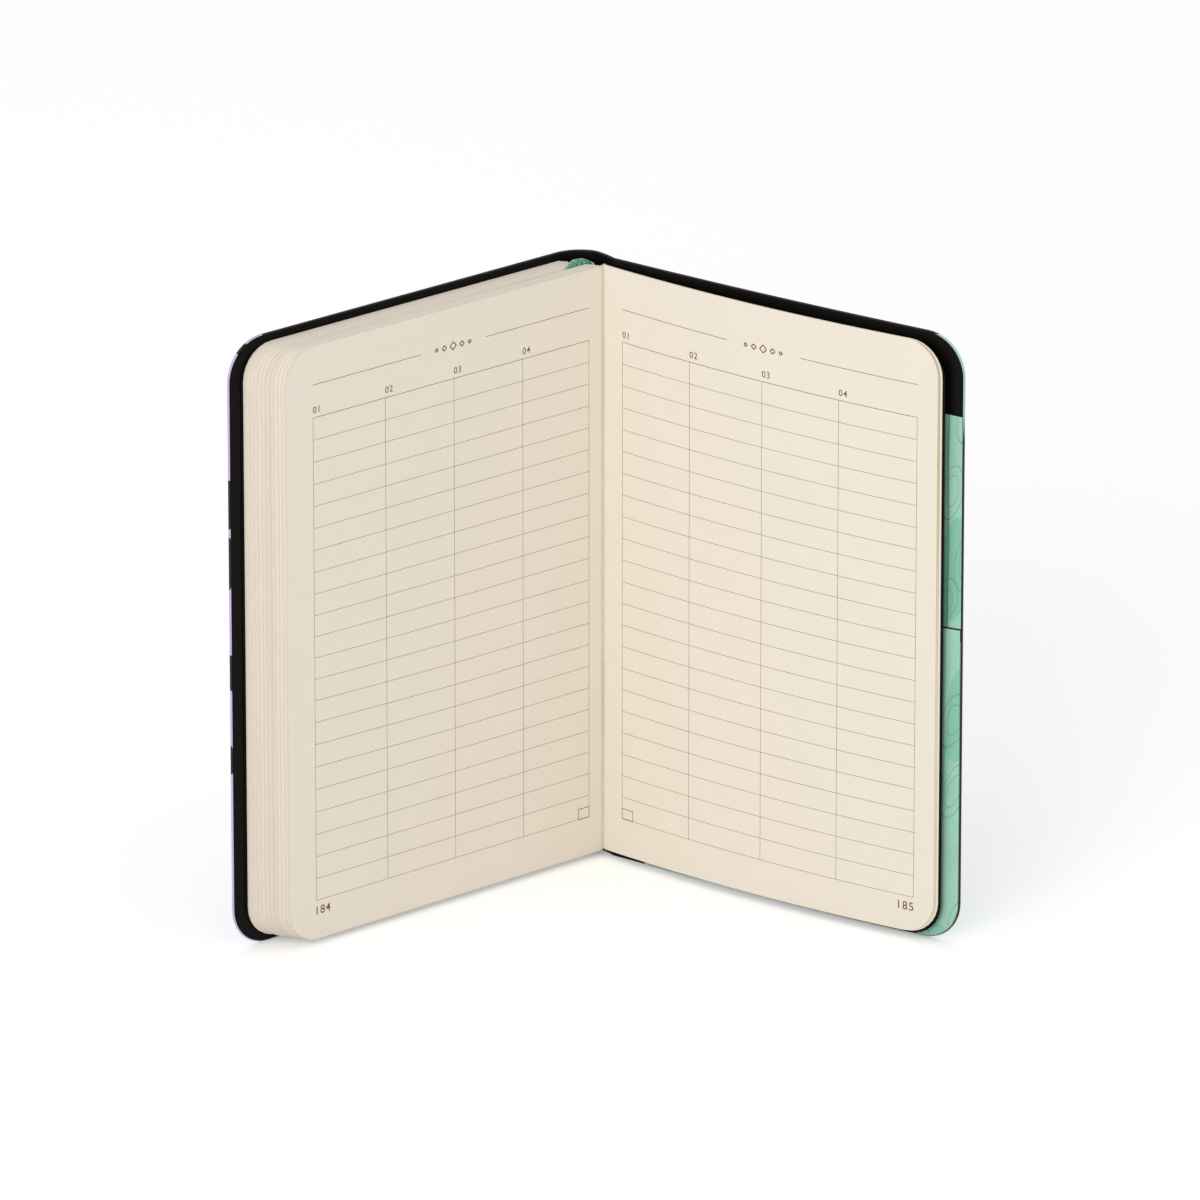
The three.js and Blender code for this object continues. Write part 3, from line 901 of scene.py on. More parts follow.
def thread_material(name, colours):
    """Linen thread with a fine fuzz."""
    material, shader, surface, place = new_material(name)
    fuzz = shader.noise(place, 5000.0, 3.0)
    toned = shader.shades(fuzz, colours.thread, 0.82, 1.03)
    dress(shader, surface, toned, shader.ramp(fuzz, 0.2, 0.65), fuzz, 0.00003)
    return material


def seen_directly(shader):
    """Mask of what the camera sees, also in a mirror or through glass."""
    path = shader.node("ShaderNodeLightPath").outputs
    return shader.most(*(path[f"Is {kind} Ray"] for kind in ("Camera", "Glossy", "Transmission")))


def floor_material(name, colours):
    """Plain pale floor that keeps the object's shadow and looks white to the camera."""
    material, shader, surface, _ = new_material(name)
    spot = shader.node("ShaderNodeTexCoord").outputs["Object"]
    mottle = shader.noise(spot, 3.0, 2.0)
    mottled = shader.shades(mottle, colours.floor, 1.0, 0.995)
    dress(shader, surface, mottled, 0.9, Specular_IOR_Level=0.0)
    dark = shader.node("ShaderNodeEmission", Strength=0.0)
    glow = shader.node("ShaderNodeEmission", Strength=FLOOR_GLOW)
    lift = shader.node("ShaderNodeMixShader")
    lift = shader.feed(lift, seen_directly(shader), dark.outputs[0], glow.outputs[0])
    total = shader.feed(shader.node("ShaderNodeAddShader"), surface.outputs[0], lift)
    shader.set(shader.found("OUTPUT_MATERIAL"), "Surface", total)
    return material


def made_once(make, name, *values, **more):
    """The material of this name, made the first time it is asked for."""
    return bpy.data.materials.get(name) or make(name, *values, **more)


def paper(colours):
    return made_once(paper_material, "cream_leaves", colours.paper, *CREAM_PAPER)


def lining_paper(colours):
    return made_once(paper_material, "black_lining", colours.lining, *BLACK_PAPER)


def lilac_print(name, colours, **layout):
    return made_once(cover_material, name, colours.lilac, colours.print_and_shadow_black, colours.lilac_line,
                     **layout)


# Pages

# How deep the open leaves dip into the fold, and how far from it they begin to
FOLD_DIP = 0.3
FOLD_REACH = 1.1


def add_leaf(parts, course, start, end, depth, thickness, tone=0.5, rise=0.0, wave=None):
    """One loose leaf as a thin solid."""
    bend = np.linspace(start, FOLD_REACH, 8)[:-1] if start < FOLD_REACH else np.array([])
    columns = np.concatenate([bend, spaced(max(start, FOLD_REACH), end - LEAF_CORNER)])
    sheet = Sheet(course, columns, LEAF_TAIL + rise, LEAF_HEAD + rise, LEAF_CORNER, rows=4)
    sheet.add_to(parts, [(0.0, depth), (0.0, depth + thickness)], wave=wave, tone=tone)


def mitre(depth):
    """How far a leaf at this depth reaches past the gutter so that its two halves meet."""
    half = math.radians(180 - LEFT_ANGLE - RIGHT_ANGLE) / 2
    return -(depth + FOLD_DIP) / math.tan(half)


def dip_into_fold(s):
    """The open leaves turn down into the fold over their last millimetre."""
    return FOLD_DIP * np.clip(1 - s / FOLD_REACH, 0, 1) ** 2


# Where the leaves beside the ribbon's slot begin to close it, and where it is closed
SLOT_CLOSING = 42.0
SLOT_CLOSED = 72.0

# The share of its pitch that a folded sheet fills
SHEET_FILL = 0.97


def section_depth(index):
    """Depth of a closed section, counted from the open page."""
    slot = RIBBON_SLOT if index >= SECTIONS_BEFORE_RIBBON else 0.0
    return OPEN_LEAVES * LEAF_PITCH + index * SECTION_PITCH + slot


def slant(depth):
    """The spine of the block slants: a fold at this depth starts this far from the gutter."""
    return FORE_SLANT * depth / BLOCK_THICKNESS


def close_slot(index, s, share):
    """Leaves beside the ribbon's slot spread to close it where the ribbon doesn't reach.

    share is the leaf's place in its section, from 0 at the open page's side to 1.
    """
    spread = np.clip((s - SLOT_CLOSING) / (SLOT_CLOSED - SLOT_CLOSING), 0, 1)
    spread = spread * spread * (3 - 2 * spread) * RIBBON_SLOT / 2
    if index == SECTIONS_BEFORE_RIBBON - 1:
        return spread * share
    if index == SECTIONS_BEFORE_RIBBON:
        return -spread * (1 - share)
    return 0.0


def add_folded_sheet(parts, left, index, start, end, inner, rise, tone):
    """One sheet of a section: out from one fore edge, round its fold and back to the other."""
    depth = section_depth(index)
    half = SECTION_THICKNESS / 2
    radius = half - inner
    turn = np.radians(np.linspace(-90, 90, 9))
    fold = start + half
    flat = np.concatenate([[fold], np.linspace(SLOT_CLOSING - 2, end - LEAF_CORNER, 8)])
    s = np.concatenate([[end], flat[::-1], fold - radius * np.cos(turn)[1:-1], flat, [end]])
    side = np.ones(len(flat) + 1)
    deep = depth + half + radius * np.concatenate([-side, np.sin(turn)[1:-1], side])
    deep = deep + close_slot(index, s, (deep - depth) / SECTION_THICKNESS)
    course = Course(left.at(s, deep), 1)
    sheet = Sheet(course, course.lengths[1:-1], LEAF_TAIL + rise, LEAF_HEAD + rise, LEAF_CORNER,
                  round_start=True, arc_steps=7)
    edge = SHEET_PITCH * SHEET_FILL / 2
    sheet.add_to(parts, [(0.0, -edge), (0.0, edge)], tone=tone)


def stray(chance, share, stagger):
    """A random distance either way, in mm: at most this share of a stagger in metres."""
    return chance.uniform(-share, share) * stagger / MM


class NOTEBOOK_OT_text_block(bpy.types.Operator):
    """Add the closed sections, leaf by leaf, with the lining on their folds"""

    bl_idname = "notebook.text_block"
    bl_label = "Text block"

    # The lining: where it begins and how far before its end it stops along the slanted spine, how
    # deep it is pressed in between the sections, and its thickness
    lining_start = 2.2
    lining_stop = 0.3
    lining_press = 0.08
    lining_thickness = 0.25

    def execute(self, context):
        sizes, colours = notebook_settings(context)
        left, _, _ = page_courses(sizes)
        chance = random.Random(11)
        for index in range(SECTIONS):
            parts = MeshParts()
            start = FOLD_START + slant(section_depth(index))
            shift = stray(chance, 1, sizes.section_stagger)
            rise = stray(chance, 0.6, sizes.section_stagger)
            section_tone = chance.uniform(0.48, 0.52)
            for k in range(SHEETS):
                end = start + LEAF_WIDTH + shift + stray(chance, 1, sizes.leaf_stagger)
                tone = section_tone + chance.uniform(-0.03, 0.03)
                lift = rise + stray(chance, 0.4, sizes.leaf_stagger)
                add_folded_sheet(parts, left, index, start, end, (k + 0.5) * SHEET_PITCH, lift, tone)
            number = SECTIONS - index
            piece = parts.build(f"sewn_section_{number:02d}", paper(colours))
            settle(piece, f"section_{number:02d}", "text_block")
        self.add_lining(left, colours)
        return {"FINISHED"}

    def add_lining(self, left, colours):
        """The lining glued over the folds, gently pressed in between the sections."""
        along = np.linspace(self.lining_start, SLANT_LENGTH - self.lining_stop, 60)
        depth = along * BLOCK_THICKNESS / SLANT_LENGTH
        press = self.lining_press * np.cos(2 * np.pi * depth / SECTION_PITCH)
        out = LINING_OFFSET + LINING_SPACE / 2 + press
        s = FOLD_START + (along * FORE_SLANT - out * BLOCK_THICKNESS) / SLANT_LENGTH
        deep = depth + out * FORE_SLANT / SLANT_LENGTH
        parts = MeshParts()
        add_band(parts, left.at(s, deep), LINING_TAIL, LINING_HEAD, self.lining_thickness, along,
                 rows=6)
        piece = parts.build("fold_lining", lining_paper(colours))
        settle(piece, "spine_lining", "text_block")


class NOTEBOOK_OT_stitches(bpy.types.Operator):
    """Add the two thread stitches in the gutter, each of two twisted plies"""

    bl_idname = "notebook.stitches"
    bl_label = "Stitches"

    # A ply's radius, the radius of its winding and the height of one turn, then how far the
    # thread lies inside the fold at its ends and in its middle, and the height of its dive
    ply_radius = 0.085
    winding = 0.075
    turn_height = 1.1
    sunk = 0.35
    shown = -0.02
    dive_height = 1.2

    # Steps along a ply, and sides of its section
    ply_steps = 120
    ply_sides = 6

    def execute(self, context):
        colours = context.scene.notebook_colours
        finish = made_once(thread_material, "sewing_thread", colours)
        towards_reader = direction(270 + (LEFT_ANGLE - RIGHT_ANGLE) / 2)
        for name, (tail, head) in (("upper_stitch", UPPER_STITCH), ("lower_stitch", LOWER_STITCH)):
            parts = MeshParts()
            for ply in (0, 1):
                self.add_ply(parts, tail, head, ply * math.pi, towards_reader)
            piece = parts.build(f"{name}_thread", finish, sharp=80.0)
            settle(piece, name, "text_block")
        return {"FINISHED"}

    def add_ply(self, parts, tail, head, phase, forwards):
        """One ply winds round the other, and both dive into the fold at their ends."""
        around = np.radians(np.arange(self.ply_sides) * 360 / self.ply_sides)
        outline = self.ply_radius * np.stack([np.cos(around), np.sin(around)], axis=1)
        rings = []
        for z in np.linspace(tail, head, self.ply_steps + 1):
            turn = phase + 2 * math.pi * (z - tail) / self.turn_height
            dive = max(0.0, 1 - min(z - tail, head - z) / self.dive_height) ** 2
            centre = GUTTER + forwards * (self.shown - (self.sunk + self.shown) * dive)
            centre = centre + np.array([math.cos(turn), math.sin(turn)]) * self.winding
            rings.append(parts.add_points(centre + outline, z, around * self.ply_radius, 0.0))
        for lower, upper in zip(rings, rings[1:]):
            for k in range(self.ply_sides):
                beside = (k + 1) % self.ply_sides
                parts.add_face((lower[k], lower[beside], upper[beside], upper[k]))
        parts.add_face(rings[0][::-1])
        parts.add_face(rings[-1])


class NOTEBOOK_OT_loose_leaves(bpy.types.Operator):
    """Add the leaves of the open section on both sides and the two black flyleaves"""

    bl_idname = "notebook.loose_leaves"
    bl_label = "Loose leaves"

    # How far each leaf's fore edge stands past its nominal place, nearest leaf first
    edge_offsets = {"left": (0.0, 0.1, 0.25, 0.3), "right": (-0.45, 0.15, 0.75, 0.65)}
    flyleaf_offset = 1.45

    # How much higher the right leaves stand, and how far the flyleaf drops at its fore edge
    right_rise = 0.3
    flyleaf_drop = 0.6

    # How far under the right page the painted tan shadow on the leaf below it begins
    edge_shadow_inset = 0.2

    def execute(self, context):
        sizes, colours = notebook_settings(context)
        left, right, _ = page_courses(sizes)
        chance = random.Random(23)
        for side, course, still in (("left", left, "text_block"), ("right", right, "back_cover")):
            rise = self.right_rise if side == "right" else 0.0
            for i in range(OPEN_LEAVES):
                offset = self.edge_offsets[side][i] + stray(chance, 1, sizes.leaf_stagger)
                end = FOLD_START + LEAF_WIDTH + offset
                tone = 0.5 + chance.uniform(-0.05, 0.05)
                depth = i * LEAF_PITCH
                parts = MeshParts()
                add_leaf(parts, course, mitre(depth), end, depth, LEAF_THICKNESS, tone, rise,
                         dip_into_fold)
                finish = paper(colours)
                # The second right leaf carries a painted shadow where it shows past the first
                if side == "right" and i == 1:
                    finish = made_once(edge_shadow_material, "cream_paper_tanned_edge", colours,
                                       end_before - self.edge_shadow_inset)
                end_before = end
                piece = parts.build(f"{side}_leaf_{i + 1}_paper", finish)
                settle(piece, f"{side}_leaf_{i + 1}")
                bend_at_fold(piece, course)
        self.add_flyleaves(left, right, colours)
        return {"FINISHED"}

    def add_flyleaves(self, left, right, colours):
        """The back flyleaf hangs a little lower towards its fore edge."""
        end = FOLD_START + LEAF_WIDTH + self.flyleaf_offset
        parts = MeshParts()
        add_leaf(parts, right, FOLD_START, end, BACK_FLYLEAF, FLYLEAF_THICKNESS, rise=self.right_rise)
        for k, (x, y, z) in enumerate(parts.points):
            parts.points[k] = (x, y, z - self.flyleaf_drop * parts.places[k][0] / end)
        back = parts.build("back_flyleaf_paper", lining_paper(colours))
        settle(back, "back_flyleaf")
        bend_at_fold(back, right)
        parts = MeshParts()
        start = FRONT_HINGE_PLACE + 0.1
        add_leaf(parts, left, start, start + LEAF_WIDTH, FRONT_FLYLEAF, FLYLEAF_THICKNESS)
        front = parts.build("front_flyleaf_paper", lining_paper(colours))
        settle(front, "front_flyleaf")
        bend_at_fold(front, left, FRONT_FLYLEAF,
                     FRONT_HINGE_PLACE, FRONT_HINGE_PLACE + 4)


# Print

# Ink above and inside the paper's face, and how much wider the heavy rules are
INK_THICKNESS = 0.012
INK_SUNK = 0.008
HEAVY_RULE = 1.45


class PagePrint:
    """Ink on the reader's side of an open page. s runs from the gutter and z is the height."""

    # Rows of the left page bulge upwards: by how much, where that begins and over what width it
    # grows, and the height of the middle of the bulge with its spread
    bulge = 1.15
    bulge_start = 45.0
    bulge_width = 60.0
    bulge_middle = 66.0
    bulge_spread = 28.0

    # Rows of the right page fall away from this place: their slope at the first height, and how
    # much it grows over the second
    lean_start = 7.0
    lean = 0.0075
    lean_growth = 0.006
    lean_heights = (13.0, 142.0)

    # Steps of a line along the page and up it
    step_along = 3.0
    step_up = 12.0

    def __init__(self, course, mirrored):
        self.course = course
        self.mirrored = mirrored
        self.parts = MeshParts()

    def drift(self, s, z):
        """The sheets were printed slightly out of true, so the rows lean and bow a little."""
        if self.mirrored:
            across = np.clip((s - self.bulge_start) / self.bulge_width, 0, 1)
            up = (z - self.bulge_middle) / self.bulge_spread
            return self.bulge * across**1.5 * np.exp(-(up**2))
        foot, height = self.lean_heights
        return -(s - self.lean_start) * (self.lean + self.lean_growth * (z - foot) / height)

    def spot(self, s, z, depth):
        s, z = np.broadcast_arrays(np.asarray(s, float), np.asarray(z, float))
        return self.course.at(s, depth), z + self.drift(s, z)

    def line(self, s0, z0, s1, z1, width):
        """A thin straight line from one point to another, bent with the page."""
        steps = max(1, int(max(abs(s1 - s0) / self.step_along, abs(z1 - z0) / self.step_up)))
        s = np.linspace(s0, s1, steps + 1)
        z = np.linspace(z0, z1, steps + 1)
        length = math.hypot(s1 - s0, z1 - z0)
        across = np.array([-(z1 - z0), s1 - s0]) / length * width / 2
        rings = []
        for depth in (INK_SUNK, -INK_THICKNESS):
            for side in (1, -1):
                along = s + across[0] * side
                plan, height = self.spot(along, z + across[1] * side, depth)
                rings.append(self.parts.add_points(plan, height, along, depth))
        a, b, c, d = rings
        for k in range(steps):
            for near, far in ((a, b), (b, d), (d, c), (c, a)):
                self.parts.add_face((near[k], near[k + 1], far[k + 1], far[k]))
        for k in (0, steps):
            self.parts.add_face((a[k], b[k], d[k], c[k]))

    def box(self, s0, z0, s1, z1, width):
        """A rectangle of four lines."""
        for line in ((s0, z0, s1, z0), (s1, z0, s1, z1), (s1, z1, s0, z1), (s0, z1, s0, z0)):
            self.line(*line, width)

    def figures(self, text, s, z, height, align="left"):
        """Plain numbers with their lower left or right corner, as align says, at s and z."""
        curve = bpy.data.curves.new("figures", "FONT")
        curve.body = text
        curve.extrude = 0.5
        curve.offset = 0.006
        curve.space_character = 1.15
        scratch = bpy.data.objects.new("figures", curve)
        bpy.context.collection.objects.link(scratch)
        shaped = scratch.evaluated_get(bpy.context.evaluated_depsgraph_get())
        mesh = shaped.to_mesh()
        points = np.array([vertex.co for vertex in mesh.vertices])
        faces = [tuple(polygon.vertices) for polygon in mesh.polygons]
        shaped.to_mesh_clear()
        bpy.data.objects.remove(scratch)
        bpy.data.curves.remove(curve)
        low, high = points.min(axis=0), points.max(axis=0)
        size = height / (high[1] - low[1])
        x = (points[:, 0] - (high if align == "right" else low)[0]) * size
        along = s - x if self.mirrored else s + x
        depth = np.where(points[:, 2] > 0, -INK_THICKNESS, INK_SUNK)
        plan, level = self.spot(along, z + (points[:, 1] - low[1]) * size, depth)
        first = self.parts.add_points(plan, level, along, depth)[0]
        for face in faces:
            self.parts.add_face([first + number for number in face])


class NOTEBOOK_OT_page_print(bpy.types.Operator):
    """Print the ruled tables and plain numbers on the two open pages"""

    bl_idname = "notebook.page_print"
    bl_label = "Page print"

    # Heights of the table and of the rule above it
    table_head = 155.4
    table_tail = 13.2
    header_rule = 165.0

    # Places of the table's columns and of the gap in the rule, from the gutter
    column_places = {"left": (5.3, 29.7, 54.8, 79.7, 105.7), "right": (7.3, 31.9, 57.2, 82.9, 108.2)}
    header_gap = {"left": (43.3, 66.8), "right": (45.1, 70.0)}

    # Small marks: half the size and the place of each lozenge, its stroke, the height of the
    # columns' numbers and their gap from the table, the height and foot of the page number, and
    # the width, tail, head and stroke of the tick box
    lozenges = ((0.55, -6.0), (0.8, -3.2), (1.15, 0.0), (0.8, 3.2), (0.55, 6.0))
    lozenge_stroke = 0.34
    figure_height = 1.9
    figure_gap = 1.3
    number_height = 2.5
    number_foot = 9.0
    tick_box = (4.0, 13.1, 16.2, 0.2)

    def execute(self, context):
        sizes, colours = notebook_settings(context)
        left, right, _ = page_courses(sizes)
        ink = made_once(ink_material, "ruling_ink", colours.ink)
        for side, course, still in (("left", left, "text_block"), ("right", right, "back_cover")):
            page = PagePrint(course, side == "left")
            self.add_table(page, side, sizes)
            self.add_header(page, side, sizes)
            self.add_small_marks(page, side, sizes)
            piece = page.parts.build(f"{side}_page_print", ink)
            bend_at_fold(piece, course)
        return {"FINISHED"}

    def columns(self, side, sizes):
        """Column places: the measured ones, or even ones for another number of columns."""
        places = self.column_places[side]
        if sizes.rule_columns == len(places) - 1:
            return places
        return tuple(np.linspace(places[0], places[-1], sizes.rule_columns + 1))

    def add_table(self, page, side, sizes):
        places = self.columns(side, sizes)
        inner, outer = places[0], places[-1]
        width = sizes.rule_width / MM
        for row in range(sizes.rule_rows + 1):
            z = self.table_tail + (self.table_head - self.table_tail) * row / sizes.rule_rows
            top = row == sizes.rule_rows
            page.line(inner, z, outer, z, width * HEAVY_RULE if top else width)
        for s in places:
            page.line(s, self.table_tail, s, self.table_head, width)

    def add_header(self, page, side, sizes):
        """Two rules with a small plain ornament between them, and numbered columns."""
        places = self.columns(side, sizes)
        inner, outer = places[0], places[-1]
        gap = self.header_gap[side]
        width = sizes.rule_width / MM * HEAVY_RULE
        page.line(inner, self.header_rule, gap[0], self.header_rule, width)
        page.line(gap[1], self.header_rule, outer, self.header_rule, width)
        middle = sum(gap) / 2
        for size, offset in self.lozenges:
            self.add_lozenge(page, middle + offset, self.header_rule, size)
        starts = places[:0:-1] if side == "left" else places[:-1]
        for column, s in enumerate(starts):
            page.figures(f"{column + 1:02d}", s, self.table_head + self.figure_gap, self.figure_height)

    def add_lozenge(self, page, s, z, size):
        corners = [(s - size, z), (s, z + size), (s + size, z), (s, z - size)]
        for start, end in zip(corners, corners[1:] + corners[:1]):
            page.line(*start, *end, self.lozenge_stroke)

    def add_small_marks(self, page, side, sizes):
        """The page number at the outer foot, and an empty tick box at the inner foot."""
        places = self.columns(side, sizes)
        inner, outer = places[0], places[-1]
        number = str(sizes.left_page_number + (side == "right"))
        page.figures(number, outer, self.number_foot, self.number_height, align=side)
        width, tail, head, stroke = self.tick_box
        page.box(inner, tail, inner + width, head, stroke)


# Covers

def rim_levels(face, inwards):
    """Levels of a cover skin: its inner side, its turned edge and flap, and its outer face."""
    half = TURN_IN[1] / 2
    levels = [(RIM + 0.3, SKIN)]
    for angle in (-60, -20, 20, 60):
        a = math.radians(angle)
        reach = half - SKIN
        levels.append((RIM - reach * math.cos(a) * 1.1, half + reach * math.sin(a)))
    levels += [(RIM + 0.3, TURN_IN[0]), (TURN_IN_WIDTH, TURN_IN[0]), (TURN_IN_WIDTH, TURN_IN[1])]
    for angle in (90, 70, 45, 22, 0, -22, -45, -70, -90):
        a = math.radians(angle)
        levels.append((RIM * (1 - math.cos(a)), half + half * math.sin(a)))
    return [(inset, face - inwards * depth) for inset, depth in levels]


def lining_levels(face, inwards):
    """Levels of a sheet glued over the turned edge, whose flap shows as a low ridge."""
    over, flat, rim, thickness = PASTEDOWN_FACE, TURN_IN[1], RIM_SHOWN, PASTEDOWN_THICKNESS
    levels = [
        (TURN_IN_WIDTH + 0.9, flat),
        (TURN_IN_WIDTH + 0.5, flat + 0.02),
        (TURN_IN_WIDTH + 0.1, (flat + over) / 2),
        (TURN_IN_WIDTH - 0.3, over - 0.01),
        (TURN_IN_WIDTH - 0.7, over),
        (rim + 0.25, over),
        (rim + 0.05, over - 0.05),
        (rim, over - thickness / 2),
        (rim, over - thickness),
        (TURN_IN_WIDTH - 0.4, over - thickness),
        (TURN_IN_WIDTH + 0.8, flat - thickness),
    ]
    return [(inset, face - inwards * depth) for inset, depth in levels]


def cover_sheet(course, start, end, tail=COVER_TAIL, head=COVER_HEAD, radius=COVER_CORNER, **more):
    columns = spaced(start, end - radius, near=8.0)
    return Sheet(course, columns, tail, head, radius, rows=10, arc_steps=12, **more)


def add_cover(side, course, start, end, face, print_finish, slot, colours, bend=None):
    """Skin, board and pastedown of one cover. Where bend is given, the skin and the pastedown ride on no
    body and are passed to it.
    """
    board_inset = RIM + 0.35
    board = [(board_inset, face - BOARD[0]), (board_inset, face - BOARD[1])]
    board_finish = made_once(paper_material, "grey_board", colours.board, *GREY_BOARD)
    layers = (
        ("wrap", "cover_skin", slot, start, rim_levels(face, 1), print_finish),
        ("stiffener", "cover_board", "grey_board", start + BOARD_START, board, board_finish),
        ("lining", "pastedown", "black_paper", start, lining_levels(face, 1), lining_paper(colours)),
    )
    for name, node, node_slot, first, levels, finish in layers:
        parts = MeshParts()
        cover_sheet(course, first, end).add_to(parts, levels)
        piece = parts.build(f"{side}_cover_{name}", finish)
        bends = bend and name != "stiffener"
        settle(piece, f"{side}_{node}", None if bends else f"{side}_cover")
        if bends:
            bend(piece)


class NOTEBOOK_OT_front_cover(bpy.types.Operator):
    """Add the lilac front cover, whose hinge lies beside the spine"""

    bl_idname = "notebook.front_cover"
    bl_label = "Front cover"

    # The head edge is dark up to this distance from the fore edge
    plain_head = 16.0

    def execute(self, context):
        sizes, colours = notebook_settings(context)
        left, _, _ = page_courses(sizes)

        def bend(piece):
            bend_at_fold(piece, left, FRONT_FACE,
                         FRONT_START, FRONT_START + 4)

        finish = lilac_print("front_cover_print", colours, origin=FRONT_START, side=-1.0,
                             face=FRONT_FACE, dark_end=FRONT_END - self.plain_head, rim_marks=True)
        add_cover("front", left, FRONT_START, FRONT_END, FRONT_FACE, finish, "lilac_cover_skin",
                  colours, bend)
        return {"FINISHED"}


class NOTEBOOK_OT_back_cover(bpy.types.Operator):
    """Add the mint back cover with its black lining"""

    bl_idname = "notebook.back_cover"
    bl_label = "Back cover"

    # The head edge is dark up to this distance from the fore edge, and the rim is painted dark as
    # shadow up to this height
    plain_head = 7.0
    rim_shadow_height = 156.0

    def execute(self, context):
        sizes, colours = notebook_settings(context)
        _, _, cover = page_courses(sizes)
        spine, strip = spine_courses(sizes)
        origin = spine.end + strip.end - BACK_START
        finish = made_once(cover_material, "back_cover_print", colours.pale_mint, colours.print_and_shadow_black,
                           colours.pale_mint_line, origin=origin, side=1.0, face=BACK_FACE,
                           dark_end=BACK_END - self.plain_head, rim_dark=self.rim_shadow_height)
        add_cover("back", cover, BACK_START, BACK_END, BACK_FACE, finish, "mint_cover_skin", colours)
        return {"FINISHED"}


class NOTEBOOK_OT_spine(bpy.types.Operator):
    """Add the hollow spine, its black liner and the soft strip beside it"""

    bl_idname = "notebook.spine"
    bl_label = "Spine"

    def execute(self, context):
        sizes, colours = notebook_settings(context)
        spine, strip = spine_courses(sizes)
        spine_finish = lilac_print("spine_print", colours, origin=0.0, side=1.0, face=0.0,
                                   dark_end=FRONT_END)
        strip_finish = lilac_print("soft_hinge_print", colours, origin=spine.end, side=1.0,
                                   face=0.0, dark_end=FRONT_END)
        skin = self.add_wrap(spine, "spine_wrap", spine_finish, rim_levels(0, -1))
        settle(skin, "spine_skin", "text_block")
        liner = self.add_lining(spine, "spine_lining_paper", colours)
        settle(liner, "spine_liner", "text_block")
        hinge = self.add_wrap(strip, "soft_hinge_wrap", strip_finish, rim_levels(0, -1))
        settle(hinge, "back_hinge_skin")
        lined = self.add_lining(strip, "soft_hinge_lining", colours)
        first, last = metres(strip.at(0.0)), metres(strip.at(strip.end))
        for piece in (hinge, lined):
            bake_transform(piece)
        return {"FINISHED"}

    def add_wrap(self, course, name, finish, levels, lap=0.0):
        """A band as tall as the covers, from the course's start to its end and a lap past them."""
        columns = np.linspace(-lap, course.end + lap, 25)
        parts = MeshParts()
        sheet = Sheet(course, columns, COVER_TAIL, COVER_HEAD, rows=10)
        sheet.add_to(parts, levels)
        return parts.build(name, finish)

    def add_lining(self, course, name, colours):
        return self.add_wrap(course, name, lining_paper(colours), lining_levels(0, -1), LINING_LAP)


class NOTEBOOK_OT_pocket(bpy.types.Operator):
    """Add the mint paper pocket: back panel, front panel and folded gussets"""

    bl_idname = "notebook.pocket"
    bl_label = "Back pocket"

    # The gussets' paper, its gap from the panels and its middle's distance from that gap, and how
    # far the gussets stand back from the panels' ends and tail
    gusset_paper = 0.1
    gusset_gap = 0.03
    gusset_middle = 0.06
    gusset_inset = 0.15
    gusset_rise = 0.3

    def execute(self, context):
        sizes, colours = notebook_settings(context)
        _, _, cover = page_courses(sizes)
        finish = made_once(pocket_material, "pocket_mint_paper", colours)
        back_finish = made_once(pocket_material, "pocket_back_print", colours, back_panel=True)
        radius = COVER_CORNER - 0.6
        for name, body, head, dip, levels, panel_finish in (
                ("back", "back_cover", POCKET_HEAD, 0.0, self.back_levels(), back_finish),
                ("front", "pocket_front", MOUTH_HEAD, MOUTH_DIP, self.front_levels(), finish)):
            parts = MeshParts()
            sheet = cover_sheet(cover, POCKET_START, POCKET_END, POCKET_TAIL, head, radius,
                                round_head=False, dip=dip)
            sheet.add_to(parts, levels)
            piece = parts.build(f"pocket_{name}_paper", panel_finish)
            settle(piece, f"pocket_{name}_panel", body)
        for name, end, inwards in (("fore", POCKET_END, -1), ("spine", POCKET_START, 1)):
            outer = end + inwards * self.gusset_inset
            inner = end + inwards * GUSSET_WIDTH
            parts = MeshParts()
            self.add_gusset(parts, cover, outer, inner, radius)
            piece = parts.build(f"pocket_{name}_gusset_paper", finish)
            settle(piece, f"pocket_{name}_gusset", "back_cover")
        return {"FINISHED"}

    def back_levels(self):
        """The back panel lies on the lining and shows the same ridge, but fainter."""
        near, thickness = POCKET_BACK, 0.16
        return [(TURN_IN_WIDTH + 0.8, near + 0.08), (TURN_IN_WIDTH + 0.2, near + 0.05),
                (TURN_IN_WIDTH - 0.4, near), (0.06, near), (0.0, near + thickness / 2),
                (0.06, near + thickness)]

    def front_levels(self):
        """The front panel has a soft folded edge all round."""
        near, far = POCKET_FRONT, POCKET_FRONT + POCKET_PAPER
        return [(0.9, near), (0.45, near + 0.02), (0.12, near + 0.06), (0.0, near + 0.11), (0.1, far)]

    def add_gusset(self, parts, cover, outer, inner, radius):
        """A strip folded once: from the front panel's back to the fold and back again."""
        near = POCKET_FRONT + POCKET_PAPER + self.gusset_gap
        far = POCKET_BACK - self.gusset_gap
        half = (far - near) / 2
        count = 8
        run = np.linspace(inner, outer, count)
        reach = np.clip(run - (POCKET_END - radius), 0, radius - 0.05)
        rise = radius - np.sqrt(radius**2 - reach**2)
        run[-1] -= np.sign(outer - inner) * half
        s = np.concatenate([run, [outer], run[::-1]])
        middle = self.gusset_middle
        depth = np.repeat([near + middle, near + half, far - middle], [count, 1, count])
        tail = POCKET_TAIL + self.gusset_rise + np.concatenate([rise, rise[-1:], rise[::-1]])
        add_band(parts, cover.at(s, depth), tail, GUSSET_HEAD, self.gusset_paper, s, rows=3)


# Ribbon

